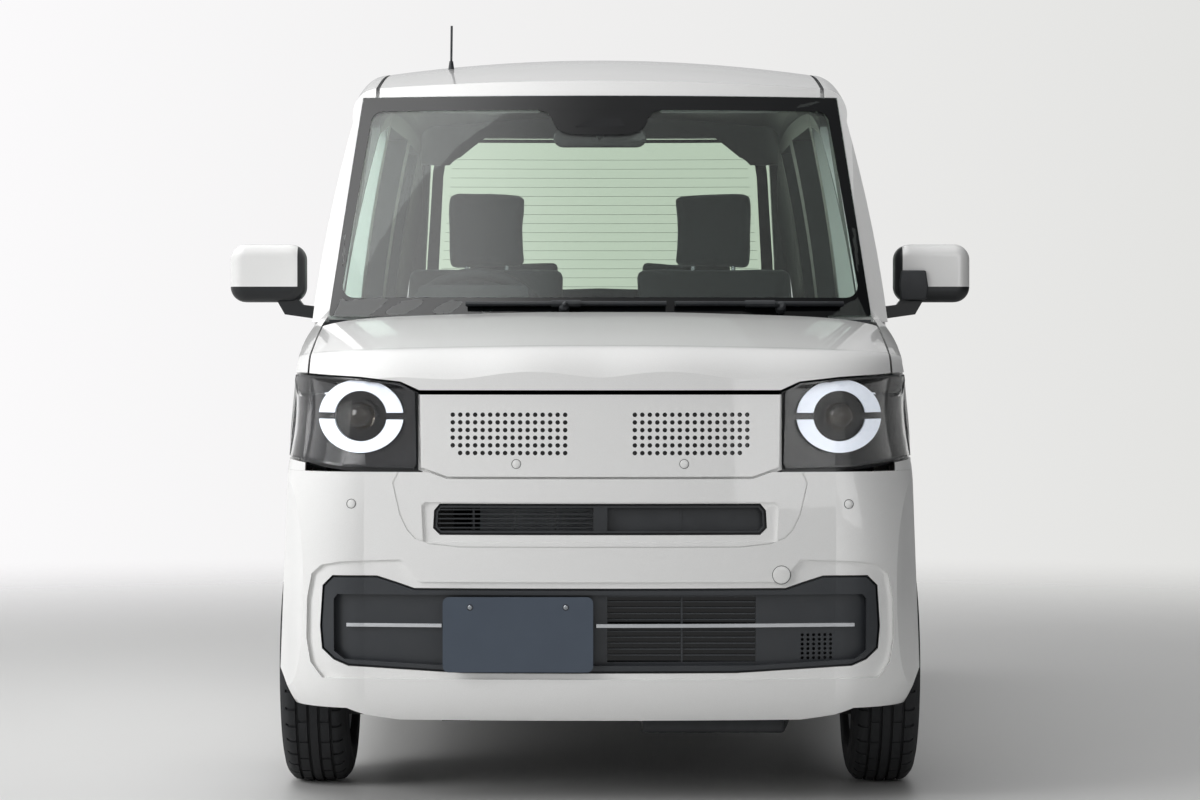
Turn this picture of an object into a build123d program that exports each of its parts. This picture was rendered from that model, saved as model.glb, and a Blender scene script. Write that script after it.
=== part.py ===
from build123d import *
import os
from collections import namedtuple
from functools import cache
from math import cos, radians, sin

os.makedirs("parts", exist_ok=True)

# A tall kei-class family car, in millimetres. The nose faces -Y, the car's left side is +X and the
# floor it stands on is Z = 0. The origin is on the floor, halfway along and across the body.

# ---------------------------------------------------------------- driving dimensions
length = 3395
width = 1475
height = 1790
wheelbase = 2520
front_overhang = 560
track = 1305
tyre_diameter = 557
tyre_width = 157
rim_diameter = 374
front_arch_radius = 318
rear_arch_radius = 300
sill_height = 190
sill_turn = 130
belt_height = 1040
cowl_height = 1093
load_floor_height = 560
floor_thickness = 40
wall = 62
roof_wall = 38
panel_skin = 22
groove_depth = 12
seat_gap = 0.3
liner = 4
shut_gap = 5
door_gap = 7
glass_thickness = 5
screen_thickness = 6
rail_half_width = 545
roof_edge_drop = 105
front_door_length = 845
sliding_door_length = 922
door_bottom = 330
door_edge_draft = 22
hinge_inset = 10
hinge_setback = 8

# ---------------------------------------------------------------- places worked out from them
half_width = width / 2
nose_y = -length / 2
tail_y = length / 2
front_axle_y = nose_y + front_overhang
rear_axle_y = front_axle_y + wheelbase
tyre_radius = tyre_diameter / 2
axle_z = tyre_radius
wheel_x = track / 2
firewall_y = front_axle_y + 180
door_front_y = front_axle_y + 362
door_rear_y = door_front_y + front_door_length
slide_front_y = door_rear_y + shut_gap + 3
slide_rear_y = slide_front_y + sliding_door_length
reach = width

# ---------------------------------------------------------------- body envelope
# Cross sections of the body, from nose to tail: y, then how far the lower side, the belt and the
# roof rail lie inside half_width, how far the roof lies below height, and its crown.
Station = namedtuple("Station", "y low belt rail drop crown")
stations = [
    Station(nose_y - 30, 10, 66, 140, 300, 20),
    Station(front_axle_y - 330, 5, 60, 140, 240, 20),
    Station(front_axle_y, 3, 50, 135, 200, 22),
    Station(door_front_y, 16, 38, 130, 137, 26),
    Station(door_front_y + 675, 17, 32, 124, 30, 38),
    Station(slide_rear_y - 100, 17, 33, 126, 0, 40),
    Station(rear_axle_y, 5, 36, 130, 24, 38),
    Station(tail_y + 30, 18, 44, 142, 62, 36),
]


@cache
def side_volume(side_in, roof_in, floor_in):
    """Loft of the body's cross sections, each surface moved inwards by its own amount."""
    with BuildPart() as volume:
        for station in stations:
            low = half_width - station.low - side_in
            belt = half_width - station.belt - side_in
            rail = half_width - station.rail - side_in
            top = height - station.drop - roof_in
            base = sill_height + floor_in
            rail_z = top - roof_edge_drop
            with BuildSketch(Plane.XZ.offset(-station.y)):
                with BuildLine():
                    floor = Line((0, base), (low - 60, base))
                    turn = Line(floor @ 1, (low, base + sill_turn))
                    mid_z = (base + sill_turn + belt_height) / 2
                    side = ThreePointArc(turn @ 1, ((low + belt) / 2 + 6, mid_z), (belt, belt_height))
                    glass_z = (belt_height + rail_z) / 2
                    glass = ThreePointArc(side @ 1, ((belt + rail) / 2 + 12, glass_z), (rail, rail_z))
                    shoulder = (rail - 16, top - station.crown - 18)
                    edge = ThreePointArc(glass @ 1, shoulder, (rail - 58, top - station.crown))
                    ThreePointArc(edge @ 1, ((rail - 58) / 2, top - station.crown / 4), (0, top))
                    mirror(about=Plane.YZ)
                make_face()
        loft()
    return volume.part


# Horizontal sections of the nose: z, how far the front lies behind nose_y, and the half width.
NoseSection = namedtuple("NoseSection", "z setback half")
nose_sections = [
    NoseSection(180, 75, 655),
    NoseSection(330, 12, 728),
    NoseSection(500, 6, 733),
    NoseSection(640, 8, 722),
    NoseSection(760, 16, 700),
    NoseSection(940, 32, 689),
    NoseSection(1250, 120, 656),
]


@cache
def nose_volume(inset):
    """Loft of the nose's plan outlines, open to the rear."""
    with BuildPart() as volume:
        for section in nose_sections:
            front = nose_y + section.setback + inset
            half = section.half - inset
            with BuildSketch(Plane.XY.offset(section.z)):
                with BuildLine():
                    face = ThreePointArc((0, front), (270, front + 9), (520, front + 35))
                    corner_end = (half, nose_y + section.setback + 235)
                    corner = ThreePointArc(face @ 1, (half - 52, front + 97), corner_end)
                    Polyline(corner @ 1, (reach, front + 700), (reach, tail_y), (0, tail_y))
                    mirror(about=Plane.YZ)
                make_face()
        loft()
    return volume.part


# Side-view sections of the bonnet: x, how far its lip lies behind the nose, and its drop.
BonnetSection = namedtuple("BonnetSection", "x shift drop")
bonnet_sections = [
    BonnetSection(0, 0, 0),
    BonnetSection(300, 11, 3),
    BonnetSection(520, 36, 9),
    BonnetSection(610, 82, 14),
    BonnetSection(680, 190, 22),
    BonnetSection(760, 330, 32),
]
lip_base = 915
lip_turn = 982
lip_top = 1020
bonnet_crown = 1072


@cache
def bonnet_volume(inset):
    """Everything below the bonnet's surface and behind its rounded lip."""
    right = [section._replace(x=-section.x) for section in reversed(bonnet_sections[1:])]
    with BuildPart() as volume:
        for section in right + bonnet_sections:
            front = nose_y + section.shift + inset
            down = section.drop + inset
            with BuildSketch(Plane.YZ.offset(section.x)):
                with BuildLine():
                    lip_end = (front + 125, lip_top - down)
                    lip = ThreePointArc((front + 26, lip_base), (front + 52, lip_turn - down), lip_end)
                    rear_end = (door_front_y, cowl_height + 21 - down)
                    top = ThreePointArc(lip @ 1, (front + 400, bonnet_crown - down), rear_end)
                    ahead = front - 60
                    Polyline(top @ 1, (door_front_y, 0), (ahead, 0), (ahead, 820), lip @ 0)
                make_face()
        loft()
    return volume.part


# Cross sections of the wings' shoulders: y, their half width and their top.
ShoulderSection = namedtuple("ShoulderSection", "y half top")
shoulder_sections = [
    ShoulderSection(nose_y - 30, 668, 990),
    ShoulderSection(nose_y + 235, 683, 1034),
    ShoulderSection(front_axle_y, 691, 1071),
    ShoulderSection(door_front_y, 703, 1098),
]
shoulder_radius = 62


def shoulder_volume(inset):
    """Everything inside the rounded edge between the wings and the bonnet."""
    with BuildPart() as volume:
        for section in shoulder_sections:
            half = section.half - inset
            top = section.top - inset
            with BuildSketch(Plane.XZ.offset(-section.y)):
                with BuildLine():
                    edge_start = (half, top - shoulder_radius)
                    edge_end = (half - shoulder_radius, top)
                    edge = ThreePointArc(edge_start, (half - 17, top - 17), edge_end)
                    Polyline(edge @ 1, (half - shoulder_radius, top + 60), (0, top + 60))
                    Polyline(edge @ 0, (half + 12, 900), (half + 50, 0), (0, 0))
                    mirror(about=Plane.YZ)
                make_face()
        loft()
    return volume.part


screen_base_y = nose_y + 648
screen_slope = 0.5915


@cache
def screen_volume(inset):
    """Everything behind the windscreen's surface."""
    with BuildPart() as volume:
        for z, sweep in ((sill_height - 100, 150), (height + 60, 95)):
            front = screen_base_y + (z - cowl_height) * screen_slope + inset * 1.16
            with BuildSketch(Plane.XY.offset(z)):
                with BuildLine():
                    face = ThreePointArc((-620, front + sweep), (0, front), (620, front + sweep))
                    rear = Line((reach, 2 * tail_y), (-reach, 2 * tail_y))
                    Polyline(face @ 1, (reach, front + sweep + 500), rear @ 0)
                    Polyline(rear @ 1, (-reach, front + sweep + 500), face @ 0)
                make_face()
        loft(ruled=True)
    return volume.part


# Horizontal sections of the tail: z, how far the rear face lies ahead of tail_y, and the half width.
TailSection = namedtuple("TailSection", "z setback half")
tail_sections = [
    TailSection(180, 60, 660),
    TailSection(330, 10, 722),
    TailSection(620, 0, 724),
    TailSection(1040, 12, 698),
    TailSection(1500, 46, 640),
    TailSection(1850, 100, 580),
]


tail_corner = 130


@cache
def tail_volume(inset):
    """Loft of the tail's plan outlines, open to the front."""
    with BuildPart() as volume:
        for section in tail_sections:
            rear = tail_y - section.setback - inset
            half = section.half - inset
            with BuildSketch(Plane.XY.offset(section.z)):
                with BuildLine():
                    face_end = half - tail_corner
                    face = ThreePointArc((0, rear), (face_end / 2, rear - 9), (face_end, rear - 36))
                    corner_end = (half, rear - 36 - tail_corner)
                    corner = ThreePointArc(face @ 1, (half - 32, rear - 84), corner_end)
                    Polyline(corner @ 1, (reach, rear - 600), (reach, 2 * nose_y), (0, 2 * nose_y))
                    mirror(about=Plane.YZ)
                make_face()
        loft()
    return volume.part


def block(x0, x1, y0, y1, z0, z1):
    """A plain box between two corners."""
    with BuildPart() as box:
        with BuildSketch(Plane.XY.offset(z0)):
            with Locations(((x0 + x1) / 2, (y0 + y1) / 2)):
                Rectangle(x1 - x0, y1 - y0)
        extrude(amount=z1 - z0)
    return box.part


def side_prism(points, x0=0, x1=reach, grow=0):
    """A side-view outline given as (y, z) points, extruded from x0 to x1."""
    with BuildPart() as prism:
        with BuildSketch(Plane.YZ.offset(x0)):
            with BuildLine():
                Polyline(*points, close=True)
            make_face()
            if grow:
                offset(amount=grow, kind=Kind.INTERSECTION, mode=Mode.REPLACE)
        extrude(amount=x1 - x0)
    return prism.part


def front_prism(points, y0, y1, grow=0):
    """A front-view outline given as (x, z) points, extruded from y0 to y1."""
    with BuildPart() as prism:
        with BuildSketch(Plane.XZ.offset(-y1)):
            with BuildLine():
                Polyline(*points, close=True)
            make_face()
            if grow:
                offset(amount=grow, kind=Kind.INTERSECTION, mode=Mode.REPLACE)
        extrude(amount=y1 - y0)
    return prism.part


def both_sides(half):
    """A left-hand solid together with its mirror image."""
    with BuildPart() as pair:
        add(half)
        mirror(half, about=Plane.YZ)
    return pair.part


def axle_cylinder(y, z, radius, x0, x1):
    """A cylinder along X from x0 to x1."""
    with BuildPart() as cylinder:
        with BuildSketch(Plane.YZ.offset(x0)):
            with Locations((y, z)):
                Circle(radius)
        extrude(amount=x1 - x0)
    return cylinder.part


def cabin_volume(side_in, roof_in, floor_in):
    """The closed cabin envelope between the firewall, the windscreen and the tail."""
    with BuildPart() as volume:
        add(side_volume(side_in, roof_in, floor_in))
        add(tail_volume(side_in), mode=Mode.INTERSECT)
        add(screen_volume(side_in), mode=Mode.INTERSECT)
        step = cowl_height - 60
        ahead = [(2 * nose_y, 0), (firewall_y, 0), (firewall_y, step), (2 * nose_y, step)]
        add(side_prism(ahead, -reach, reach), mode=Mode.SUBTRACT)
    return volume.part


def lamp_volume(inset):
    """The nose's envelope around the lamps, without the rounded shoulders above them."""
    with BuildPart() as volume:
        add(side_volume(inset, 0, 0))
        add(nose_volume(inset), mode=Mode.INTERSECT)
        add(bonnet_volume(inset), mode=Mode.INTERSECT)
    return volume.part


def nose_block(inset):
    """The closed envelope of bonnet, wings and bumper, ahead of the doors."""
    with BuildPart() as volume:
        add(lamp_volume(inset))
        add(shoulder_volume(inset), mode=Mode.INTERSECT)
    return volume.part


# ---------------------------------------------------------------- outlines of the openings
front_door_outline = [
    (door_front_y, door_bottom),
    (door_rear_y, door_bottom),
    (door_rear_y, 1640),
    (door_front_y + 305, 1592),
    (door_front_y + 215, 1560),
    (door_front_y, 1110),
]
front_window_outline = [
    (door_front_y + 72, 1085),
    (door_rear_y - 55, 1072),
    (door_rear_y - 55, 1592),
    (door_front_y + 325, 1548),
    (door_front_y + 262, 1522),
]
sliding_door_outline = [
    (slide_front_y, door_bottom),
    (slide_rear_y, door_bottom),
    (slide_rear_y, 1655),
    (slide_front_y, 1641),
]
sliding_window_outline = [
    (slide_front_y + 48, 1072),
    (slide_rear_y - 60, 1072),
    (slide_rear_y - 60, 1606),
    (slide_front_y + 48, 1598),
]
quarter_window_outline = [
    (slide_rear_y + 72, 1085),
    (rear_axle_y + 62, 1085),
    (rear_axle_y + 92, 1130),
    (rear_axle_y + 48, 1590),
    (slide_rear_y + 72, 1600),
]
screen_outline = [(-652, 1085), (652, 1085), (586, 1628), (-586, 1628)]
tailgate_top_y = tail_y - 150
tailgate_bottom = 565
tailgate_outline = [
    (-585, tailgate_bottom),
    (585, tailgate_bottom),
    (598, 720),
    (598, 1060),
    (545, 1700),
    (540, 1900),
    (-540, 1900),
    (-545, 1700),
    (-598, 1060),
    (-598, 720),
]
tailgate_window_outline = [
    (-520, 1105),
    (520, 1105),
    (545, 1150),
    (522, 1560),
    (492, 1625),
    (430, 1645),
    (-430, 1645),
    (-492, 1625),
    (-522, 1560),
    (-545, 1150),
]
tail_lamp_outline = [(612, 790), (760, 790), (740, 1290), (607, 1290)]
rear_bumper_top = tailgate_bottom - shut_gap
headlamp_outline = [
    (404, 758),
    (409, 748),
    (560, 752),
    (640, 762),
    (730, 775),
    (730, 953),
    (655, 953),
    (530, 946),
    (440, 936),
    (408, 917),
]
grille_outline = [
    (-394, 752),
    (-335, 731),
    (335, 731),
    (394, 752),
    (397, 911),
    (-397, 911),
]
intake_outline = [
    (-350, 608),
    (350, 608),
    (362, 620),
    (360, 655),
    (350, 667),
    (-350, 667),
    (-360, 655),
    (-362, 620),
]
intake_frame_outline = [(-389, 588), (389, 588), (393, 668), (384, 675), (-384, 675), (-393, 668)]
lower_grille_outline = [
    (-614, 400),
    (-608, 488),
    (-588, 508),
    (-492, 508),
    (-450, 495),
    (-409, 481),
    (409, 481),
    (450, 495),
    (492, 508),
    (588, 508),
    (608, 488),
    (614, 400),
    (610, 352),
    (586, 330),
    (555, 317),
    (300, 303),
    (-300, 303),
    (-555, 317),
    (-586, 330),
    (-610, 352),
]
grille_recess_outline = [
    (-588, 460),
    (-580, 471),
    (580, 471),
    (588, 460),
    (588, 345),
    (564, 327),
    (345, 315),
    (-345, 315),
    (-564, 327),
    (-588, 345),
]
bumper_recess_outline = [
    (-400, 500),
    (-440, 549),
    (-571, 544),
    (-615, 536),
    (-637, 516),
    (-648, 461),
    (-650, 373),
    (-641, 319),
    (-615, 285),
    (615, 285),
    (641, 319),
    (650, 373),
    (648, 461),
    (637, 516),
    (615, 536),
    (571, 544),
    (440, 549),
    (400, 500),
]
centre_joint_outline = [
    (-433, 760),
    (-456, 718),
    (-440, 648),
    (-424, 615),
    (-407, 597),
    (-374, 584),
    (-308, 577),
    (308, 577),
    (374, 584),
    (407, 597),
    (424, 615),
    (440, 648),
    (456, 718),
    (433, 760),
]
bonnet_half_width = 650
bonnet_rear_y = screen_base_y - 40
bonnet_front_z = 921
bumper_top = 741

plate_width = 330
plate_height = 165
plate_turn = 14
lens_thickness = 4
lamp_recess = 34
lamp_depth = 96
grille_recess = 6
grille_thickness = 12
pocket_depth = 40

# ---------------------------------------------------------------- envelopes and shells
body = cabin_volume(0, 0, 0)
body_groove = cabin_volume(groove_depth, groove_depth, groove_depth)
body_inner = cabin_volume(wall, roof_wall, wall)
body_fit = cabin_volume(wall + seat_gap, roof_wall + seat_gap, wall + seat_gap)
glass_outer = cabin_volume(6, 6, 6)
glass_inner = cabin_volume(6 + glass_thickness, 6 + glass_thickness, 6)
screen_inner = cabin_volume(screen_thickness, screen_thickness, 0)
nose = nose_block(0)
nose_inner = nose_block(panel_skin)
nose_fit = nose_block(panel_skin + seat_gap)
lens_inner = lamp_volume(lens_thickness)
lamp_face = lamp_volume(lamp_recess)
lamp_back = lamp_volume(lamp_depth)
pocket_back = cabin_volume(pocket_depth, pocket_depth, 0)

# ---------------------------------------------------------------- cutters shared by several panels
front_arch = axle_cylinder(front_axle_y, axle_z, front_arch_radius, 410, reach)
front_arch_frame = axle_cylinder(front_axle_y, axle_z, front_arch_radius + liner + seat_gap, 410, reach)
rear_arch = axle_cylinder(rear_axle_y, axle_z, rear_arch_radius, 540, reach)
door_opening = side_prism(front_door_outline, grow=door_gap)
hinge_x = half_width - 16 - hinge_inset
hinge_y = door_front_y + hinge_setback
bumper_zone = block(0, reach, rear_axle_y + 60, 2 * tail_y, 0, rear_bumper_top)

gate_cut = front_prism(tailgate_outline, tailgate_top_y - door_gap, 2 * tail_y, grow=door_gap)

jack_x = 630
jack_ys = (-620, 880)
jack_pad_depth = 8
slide_rail_z = 872
slide_rail_height = 16
slide_rail_outline = [
    (slide_rear_y, slide_rail_z),
    (rear_axle_y + 122, slide_rail_z),
    (rear_axle_y + 122, slide_rail_z + slide_rail_height),
    (slide_rear_y, slide_rail_z + slide_rail_height),
]

# The rear edge of the front door and of its opening runs inwards and forwards, so that the door's
# inner corner clears the pillar as it swings.
with BuildPart() as door_draft:
    with BuildSketch(Plane.XY.offset(door_bottom - 2 * door_gap)):
        with BuildLine():
            Polyline(
                (half_width - wall - 140, door_rear_y - 3 * door_edge_draft),
                (half_width, door_rear_y),
                (half_width, door_rear_y + 60),
                (half_width - wall - 140, door_rear_y + 60),
                close=True,
            )
        make_face()
    extrude(amount=height)

with BuildPart() as door_opening_cut:
    add(door_opening)
    add(door_draft.part.moved(Location((0, door_gap, 0))), mode=Mode.SUBTRACT)

screen_prism = front_prism(screen_outline, nose_y, 0)
with BuildPart() as screen_seat:
    add(front_prism(screen_outline, nose_y, 0, grow=seat_gap))
    add(screen_inner, mode=Mode.SUBTRACT)

with BuildPart() as wing_zone:
    add(block(rail_half_width - 60, reach, nose_y, door_front_y - door_gap, 0, cowl_height - 20))
    add(nose_fit, mode=Mode.SUBTRACT)

with BuildPart() as skin_grooves:
    add(side_prism(sliding_door_outline, grow=shut_gap))
    add(side_prism(slide_rail_outline))
    add(block(rail_half_width, rail_half_width + 9, screen_base_y, tailgate_top_y, 1500, 2 * height))
    add(body_groove, mode=Mode.SUBTRACT)

with BuildPart() as lamp_pocket:
    add(front_prism(tail_lamp_outline, rear_axle_y + 130, 2 * tail_y, grow=seat_gap))
    add(pocket_back, mode=Mode.SUBTRACT)

# ---------------------------------------------------------------- side frames
with BuildPart() as side_half:
    add(body)
    add(body_inner, mode=Mode.SUBTRACT)
    add(block(rail_half_width, reach, firewall_y + 50, 2 * tail_y, 0, 2 * height), mode=Mode.INTERSECT)
    add(door_opening_cut.part, mode=Mode.SUBTRACT)
    add(side_prism(sliding_door_outline, grow=seat_gap), mode=Mode.SUBTRACT)
    add(side_prism(quarter_window_outline), mode=Mode.SUBTRACT)
    add(rear_arch, mode=Mode.SUBTRACT)
    add(front_arch_frame, mode=Mode.SUBTRACT)
    add(front_prism(screen_outline, nose_y, 0, grow=-28), mode=Mode.SUBTRACT)
    add(screen_seat.part, mode=Mode.SUBTRACT)
    add(wing_zone.part, mode=Mode.SUBTRACT)
    add(skin_grooves.part, mode=Mode.SUBTRACT)
    add(gate_cut, mode=Mode.SUBTRACT)
    add(lamp_pocket.part, mode=Mode.SUBTRACT)
    add(bumper_zone, mode=Mode.SUBTRACT)
    for y in jack_ys:
        pad_bottom = sill_height - jack_pad_depth
        add(block(jack_x - 25, jack_x + 25, y - 40, y + 40, pad_bottom, sill_height + 20))

with BuildPart() as side_frames:
    add(both_sides(side_half.part))
side_frames.part.label = "side_frames"
export_step(side_frames.part, "parts/side_frames.step")

# ---------------------------------------------------------------- roof
gate_hinge_y = tailgate_top_y + hinge_setback
gate_hinge_z = height - 55
gate_pin_radius = 5
gate_hinge_xs = (-170, 170)
roof_edge_x = rail_half_width - seat_gap
roof_edge_z = 1560
roof_rear_y = tailgate_top_y - door_gap
roof_zone = block(-roof_edge_x, roof_edge_x, screen_base_y, roof_rear_y, roof_edge_z, 2 * height)
gate_hinge_half = 30
gate_arm_width = 8
with BuildPart() as roof_panel:
    add(body)
    add(body_inner, mode=Mode.SUBTRACT)
    add(roof_zone, mode=Mode.INTERSECT)
    add(front_prism(screen_outline, nose_y, 0, grow=-28), mode=Mode.SUBTRACT)
    add(screen_seat.part, mode=Mode.SUBTRACT)
    for x in gate_hinge_xs:
        for arm in (x - gate_hinge_half, x + gate_hinge_half - gate_arm_width):
            arm_rear = gate_hinge_y + gate_pin_radius + 1
            arm_z = gate_hinge_z - gate_pin_radius - 1
            add(block(arm, arm + gate_arm_width, tailgate_top_y - 25, arm_rear, arm_z, arm_z + 12))
        pin_ends = (x - gate_hinge_half, x + gate_hinge_half)
        add(axle_cylinder(gate_hinge_y, gate_hinge_z, gate_pin_radius, *pin_ends))
roof_panel.part.label = "roof_panel"
export_step(roof_panel.part, "parts/roof_panel.step")

# ---------------------------------------------------------------- windscreen
with BuildPart() as windscreen:
    add(screen_prism)
    add(body, mode=Mode.INTERSECT)
    add(screen_inner, mode=Mode.SUBTRACT)
    add(block(-reach, reach, nose_y, 0, cowl_height - 30, 2 * height), mode=Mode.INTERSECT)
windscreen.part.label = "windscreen"
export_step(windscreen.part, "parts/windscreen.step")

# ---------------------------------------------------------------- sliding doors and side glass
handle_length = 160
handle_bottom = 902
handle_height = 28
handle_out = half_width - 4


def door_handle(y):
    """A rounded grip on a left-hand door's skin, from y rearwards."""
    with BuildPart() as grip:
        grip_top = handle_bottom + handle_height
        add(block(half_width - 40, handle_out, y, y + handle_length, handle_bottom, grip_top))
        fillet(grip.edges().filter_by(Axis.X), radius=10)
        fillet(grip.faces().sort_by(Axis.X)[-1].edges(), radius=5)
        add(body_inner, mode=Mode.SUBTRACT)
    return grip.part


with BuildPart() as sliding_half:
    add(side_prism(sliding_door_outline))
    add(body, mode=Mode.INTERSECT)
    add(body_inner, mode=Mode.SUBTRACT)
    add(side_prism(sliding_window_outline), mode=Mode.SUBTRACT)
    add(door_handle(slide_front_y + 40))
with BuildPart() as sliding_doors:
    add(both_sides(sliding_half.part))
sliding_doors.part.label = "sliding_doors"
export_step(sliding_doors.part, "parts/sliding_doors.step")


def side_pane(outline):
    """A pane that fills a side window, a little inside the skin."""
    with BuildPart() as pane:
        add(side_prism(outline, grow=-seat_gap))
        add(glass_outer, mode=Mode.INTERSECT)
        add(glass_inner, mode=Mode.SUBTRACT)
    return pane.part


with BuildPart() as rear_side_glass:
    add(both_sides(side_pane(sliding_window_outline)))
    add(both_sides(side_pane(quarter_window_outline)))
rear_side_glass.part.label = "rear_side_glass"
export_step(rear_side_glass.part, "parts/rear_side_glass.step")

# ---------------------------------------------------------------- front doors


hinge_heights = (470, 880)
hinge_pocket_height = 72
hinge_pin_radius = 4.5
hinge_knuckle_radius = 9


def hinge_cylinder(radius, z0, z1):
    """A cylinder on the front door's hinge axis."""
    with BuildPart() as cylinder:
        with BuildSketch(Plane.XY.offset(z0)):
            with Locations((hinge_x, hinge_y)):
                Circle(radius)
        extrude(amount=z1 - z0)
    return cylinder.part


with BuildPart() as leading_corner:
    add(block(hinge_x, reach, door_front_y - 1, hinge_y, 0, height))
    add(hinge_cylinder(hinge_inset, 0, height), mode=Mode.SUBTRACT)

hinge_pocket_rear = hinge_y + hinge_knuckle_radius + 3
with BuildPart() as front_door_half:
    add(side_prism(front_door_outline))
    add(body, mode=Mode.INTERSECT)
    add(body_inner, mode=Mode.SUBTRACT)
    add(door_draft.part, mode=Mode.SUBTRACT)
    add(leading_corner.part, mode=Mode.SUBTRACT)
    add(side_prism(front_window_outline), mode=Mode.SUBTRACT)
    add(door_handle(door_rear_y - handle_length - 45))
    for z in hinge_heights:
        hinge_top = z + hinge_pocket_height
        pocket = (hinge_x - 45, hinge_x + 7, door_front_y - 1, hinge_pocket_rear, z, hinge_top)
        add(block(*pocket), mode=Mode.SUBTRACT)
        add(block(hinge_x - 8, hinge_x, hinge_y, hinge_pocket_rear + 2, z + 15, hinge_top - 15))
        add(hinge_cylinder(hinge_knuckle_radius - 2, z + 15, hinge_top - 15))
        add(hinge_cylinder(hinge_pin_radius + seat_gap, z + 15, hinge_top - 15), mode=Mode.SUBTRACT)

with BuildPart() as door_hinge_half:
    for z in hinge_heights:
        hinge_top = z + hinge_pocket_height
        add(hinge_cylinder(hinge_pin_radius, z + 5, hinge_top - 5))
        for arm_z in (z + 5, hinge_top - 13):
            with BuildSketch(Plane.XY.offset(arm_z)):
                with BuildLine():
                    Polyline(
                        (hinge_x + 3, hinge_y - 3),
                        (hinge_x - 3, hinge_y + 3),
                        (hinge_x - 30, door_front_y - door_gap),
                        (hinge_x - 16, door_front_y - door_gap),
                        close=True,
                    )
                make_face()
            extrude(amount=8)

for side in ("left", "right"):
    with BuildPart() as front_door:
        if side == "left":
            add(front_door_half.part)
        else:
            mirror(front_door_half.part, about=Plane.YZ)
    front_door.part.label = f"front_door_{side}"
    export_step(front_door.part, f"parts/front_door_{side}.step")
    pane_half = side_pane(front_window_outline)
    with BuildPart() as front_door_glass:
        if side == "left":
            add(pane_half)
        else:
            mirror(pane_half, about=Plane.YZ)
    front_door_glass.part.label = f"front_door_glass_{side}"
    export_step(front_door_glass.part, f"parts/front_door_glass_{side}.step")

# ---------------------------------------------------------------- door mirrors
mirror_x = 724
mirror_width = 184
mirror_bottom = 1122
mirror_height = 142
mirror_depth = 82
mirror_y = door_front_y + 35
with BuildPart() as door_mirror_half:
    with BuildSketch(Plane.XZ.offset(-mirror_y - mirror_depth)):
        with Locations((mirror_x + mirror_width / 2, mirror_bottom + mirror_height / 2)):
            RectangleRounded(mirror_width, mirror_height, 38)
    extrude(amount=mirror_depth)
    fillet(door_mirror_half.edges().group_by(Axis.Y)[0], radius=30)
    with BuildSketch(Plane.XZ.offset(-mirror_y - 62)):
        with BuildLine():
            Polyline(
                (690, 1080),
                (mirror_x + 50, 1092),
                (mirror_x + 74, mirror_bottom + 12),
                (mirror_x + 20, mirror_bottom + 12),
                (mirror_x + 6, 1116),
                (700, 1112),
                close=True,
            )
        make_face()
    extrude(amount=44)
    add(front_door_half.part, mode=Mode.SUBTRACT)
    add(body, mode=Mode.SUBTRACT)
for side in ("left", "right"):
    with BuildPart() as door_mirror:
        if side == "left":
            add(door_mirror_half.part)
        else:
            mirror(door_mirror_half.part, about=Plane.YZ)
    door_mirror.part.label = f"door_mirror_{side}"
    export_step(door_mirror.part, f"parts/door_mirror_{side}.step")

# ---------------------------------------------------------------- tailgate
with BuildPart() as gate_corner:
    add(block(-reach, reach, tailgate_top_y - 1, gate_hinge_y, gate_hinge_z, height))
    add(axle_cylinder(gate_hinge_y, gate_hinge_z, hinge_inset, -reach, reach), mode=Mode.SUBTRACT)
rear_plate_z = 785
rear_plate_recess = 14
with BuildPart() as plate_pocket:
    with BuildSketch(Plane.XZ.offset(-2 * tail_y)):
        with Locations((0, rear_plate_z)):
            RectangleRounded(plate_width + 110, plate_height + 40, 20)
    extrude(amount=tail_y + wall)
    add(tail_volume(rear_plate_recess), mode=Mode.SUBTRACT)
notch = gate_hinge_half + 5
notch_rear = gate_hinge_y + gate_pin_radius + 12
notch_z = 1690
lug = gate_hinge_half - gate_arm_width - 5
lug_z = gate_hinge_z - gate_pin_radius - 3
with BuildPart() as tailgate:
    add(front_prism(tailgate_outline, tailgate_top_y, 2 * tail_y))
    add(body, mode=Mode.INTERSECT)
    add(body_inner, mode=Mode.SUBTRACT)
    add(gate_corner.part, mode=Mode.SUBTRACT)
    add(front_prism(tailgate_window_outline, tailgate_top_y, 2 * tail_y), mode=Mode.SUBTRACT)
    add(plate_pocket.part, mode=Mode.SUBTRACT)
    for x in gate_hinge_xs:
        add(block(x - notch, x + notch, tailgate_top_y - 1, notch_rear, notch_z, height), mode=Mode.SUBTRACT)
        add(block(x - lug, x + lug, gate_hinge_y, notch_rear + 2, lug_z, lug_z + 14))
        add(axle_cylinder(gate_hinge_y, gate_hinge_z, gate_pin_radius + 3, x - lug, x + lug))
        bore = axle_cylinder(gate_hinge_y, gate_hinge_z, gate_pin_radius + seat_gap, x - lug, x + lug)
        add(bore, mode=Mode.SUBTRACT)
tailgate.part.label = "tailgate"
export_step(tailgate.part, "parts/tailgate.step")

with BuildPart() as tailgate_glass:
    add(front_prism(tailgate_window_outline, tailgate_top_y, 2 * tail_y, grow=-seat_gap))
    add(glass_outer, mode=Mode.INTERSECT)
    add(glass_inner, mode=Mode.SUBTRACT)
tailgate_glass.part.label = "tailgate_glass"
export_step(tailgate_glass.part, "parts/tailgate_glass.step")

with BuildPart() as rear_plate:
    with BuildSketch(Plane.XZ.offset(-2 * tail_y)):
        with Locations((0, rear_plate_z)):
            RectangleRounded(plate_width, plate_height, plate_turn)
    extrude(amount=tail_y + wall)
    add(tail_volume(rear_plate_recess - 4), mode=Mode.INTERSECT)
    add(tail_volume(rear_plate_recess - seat_gap), mode=Mode.SUBTRACT)
rear_plate.part.label = "rear_plate"
export_step(rear_plate.part, "parts/rear_plate.step")

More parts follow.
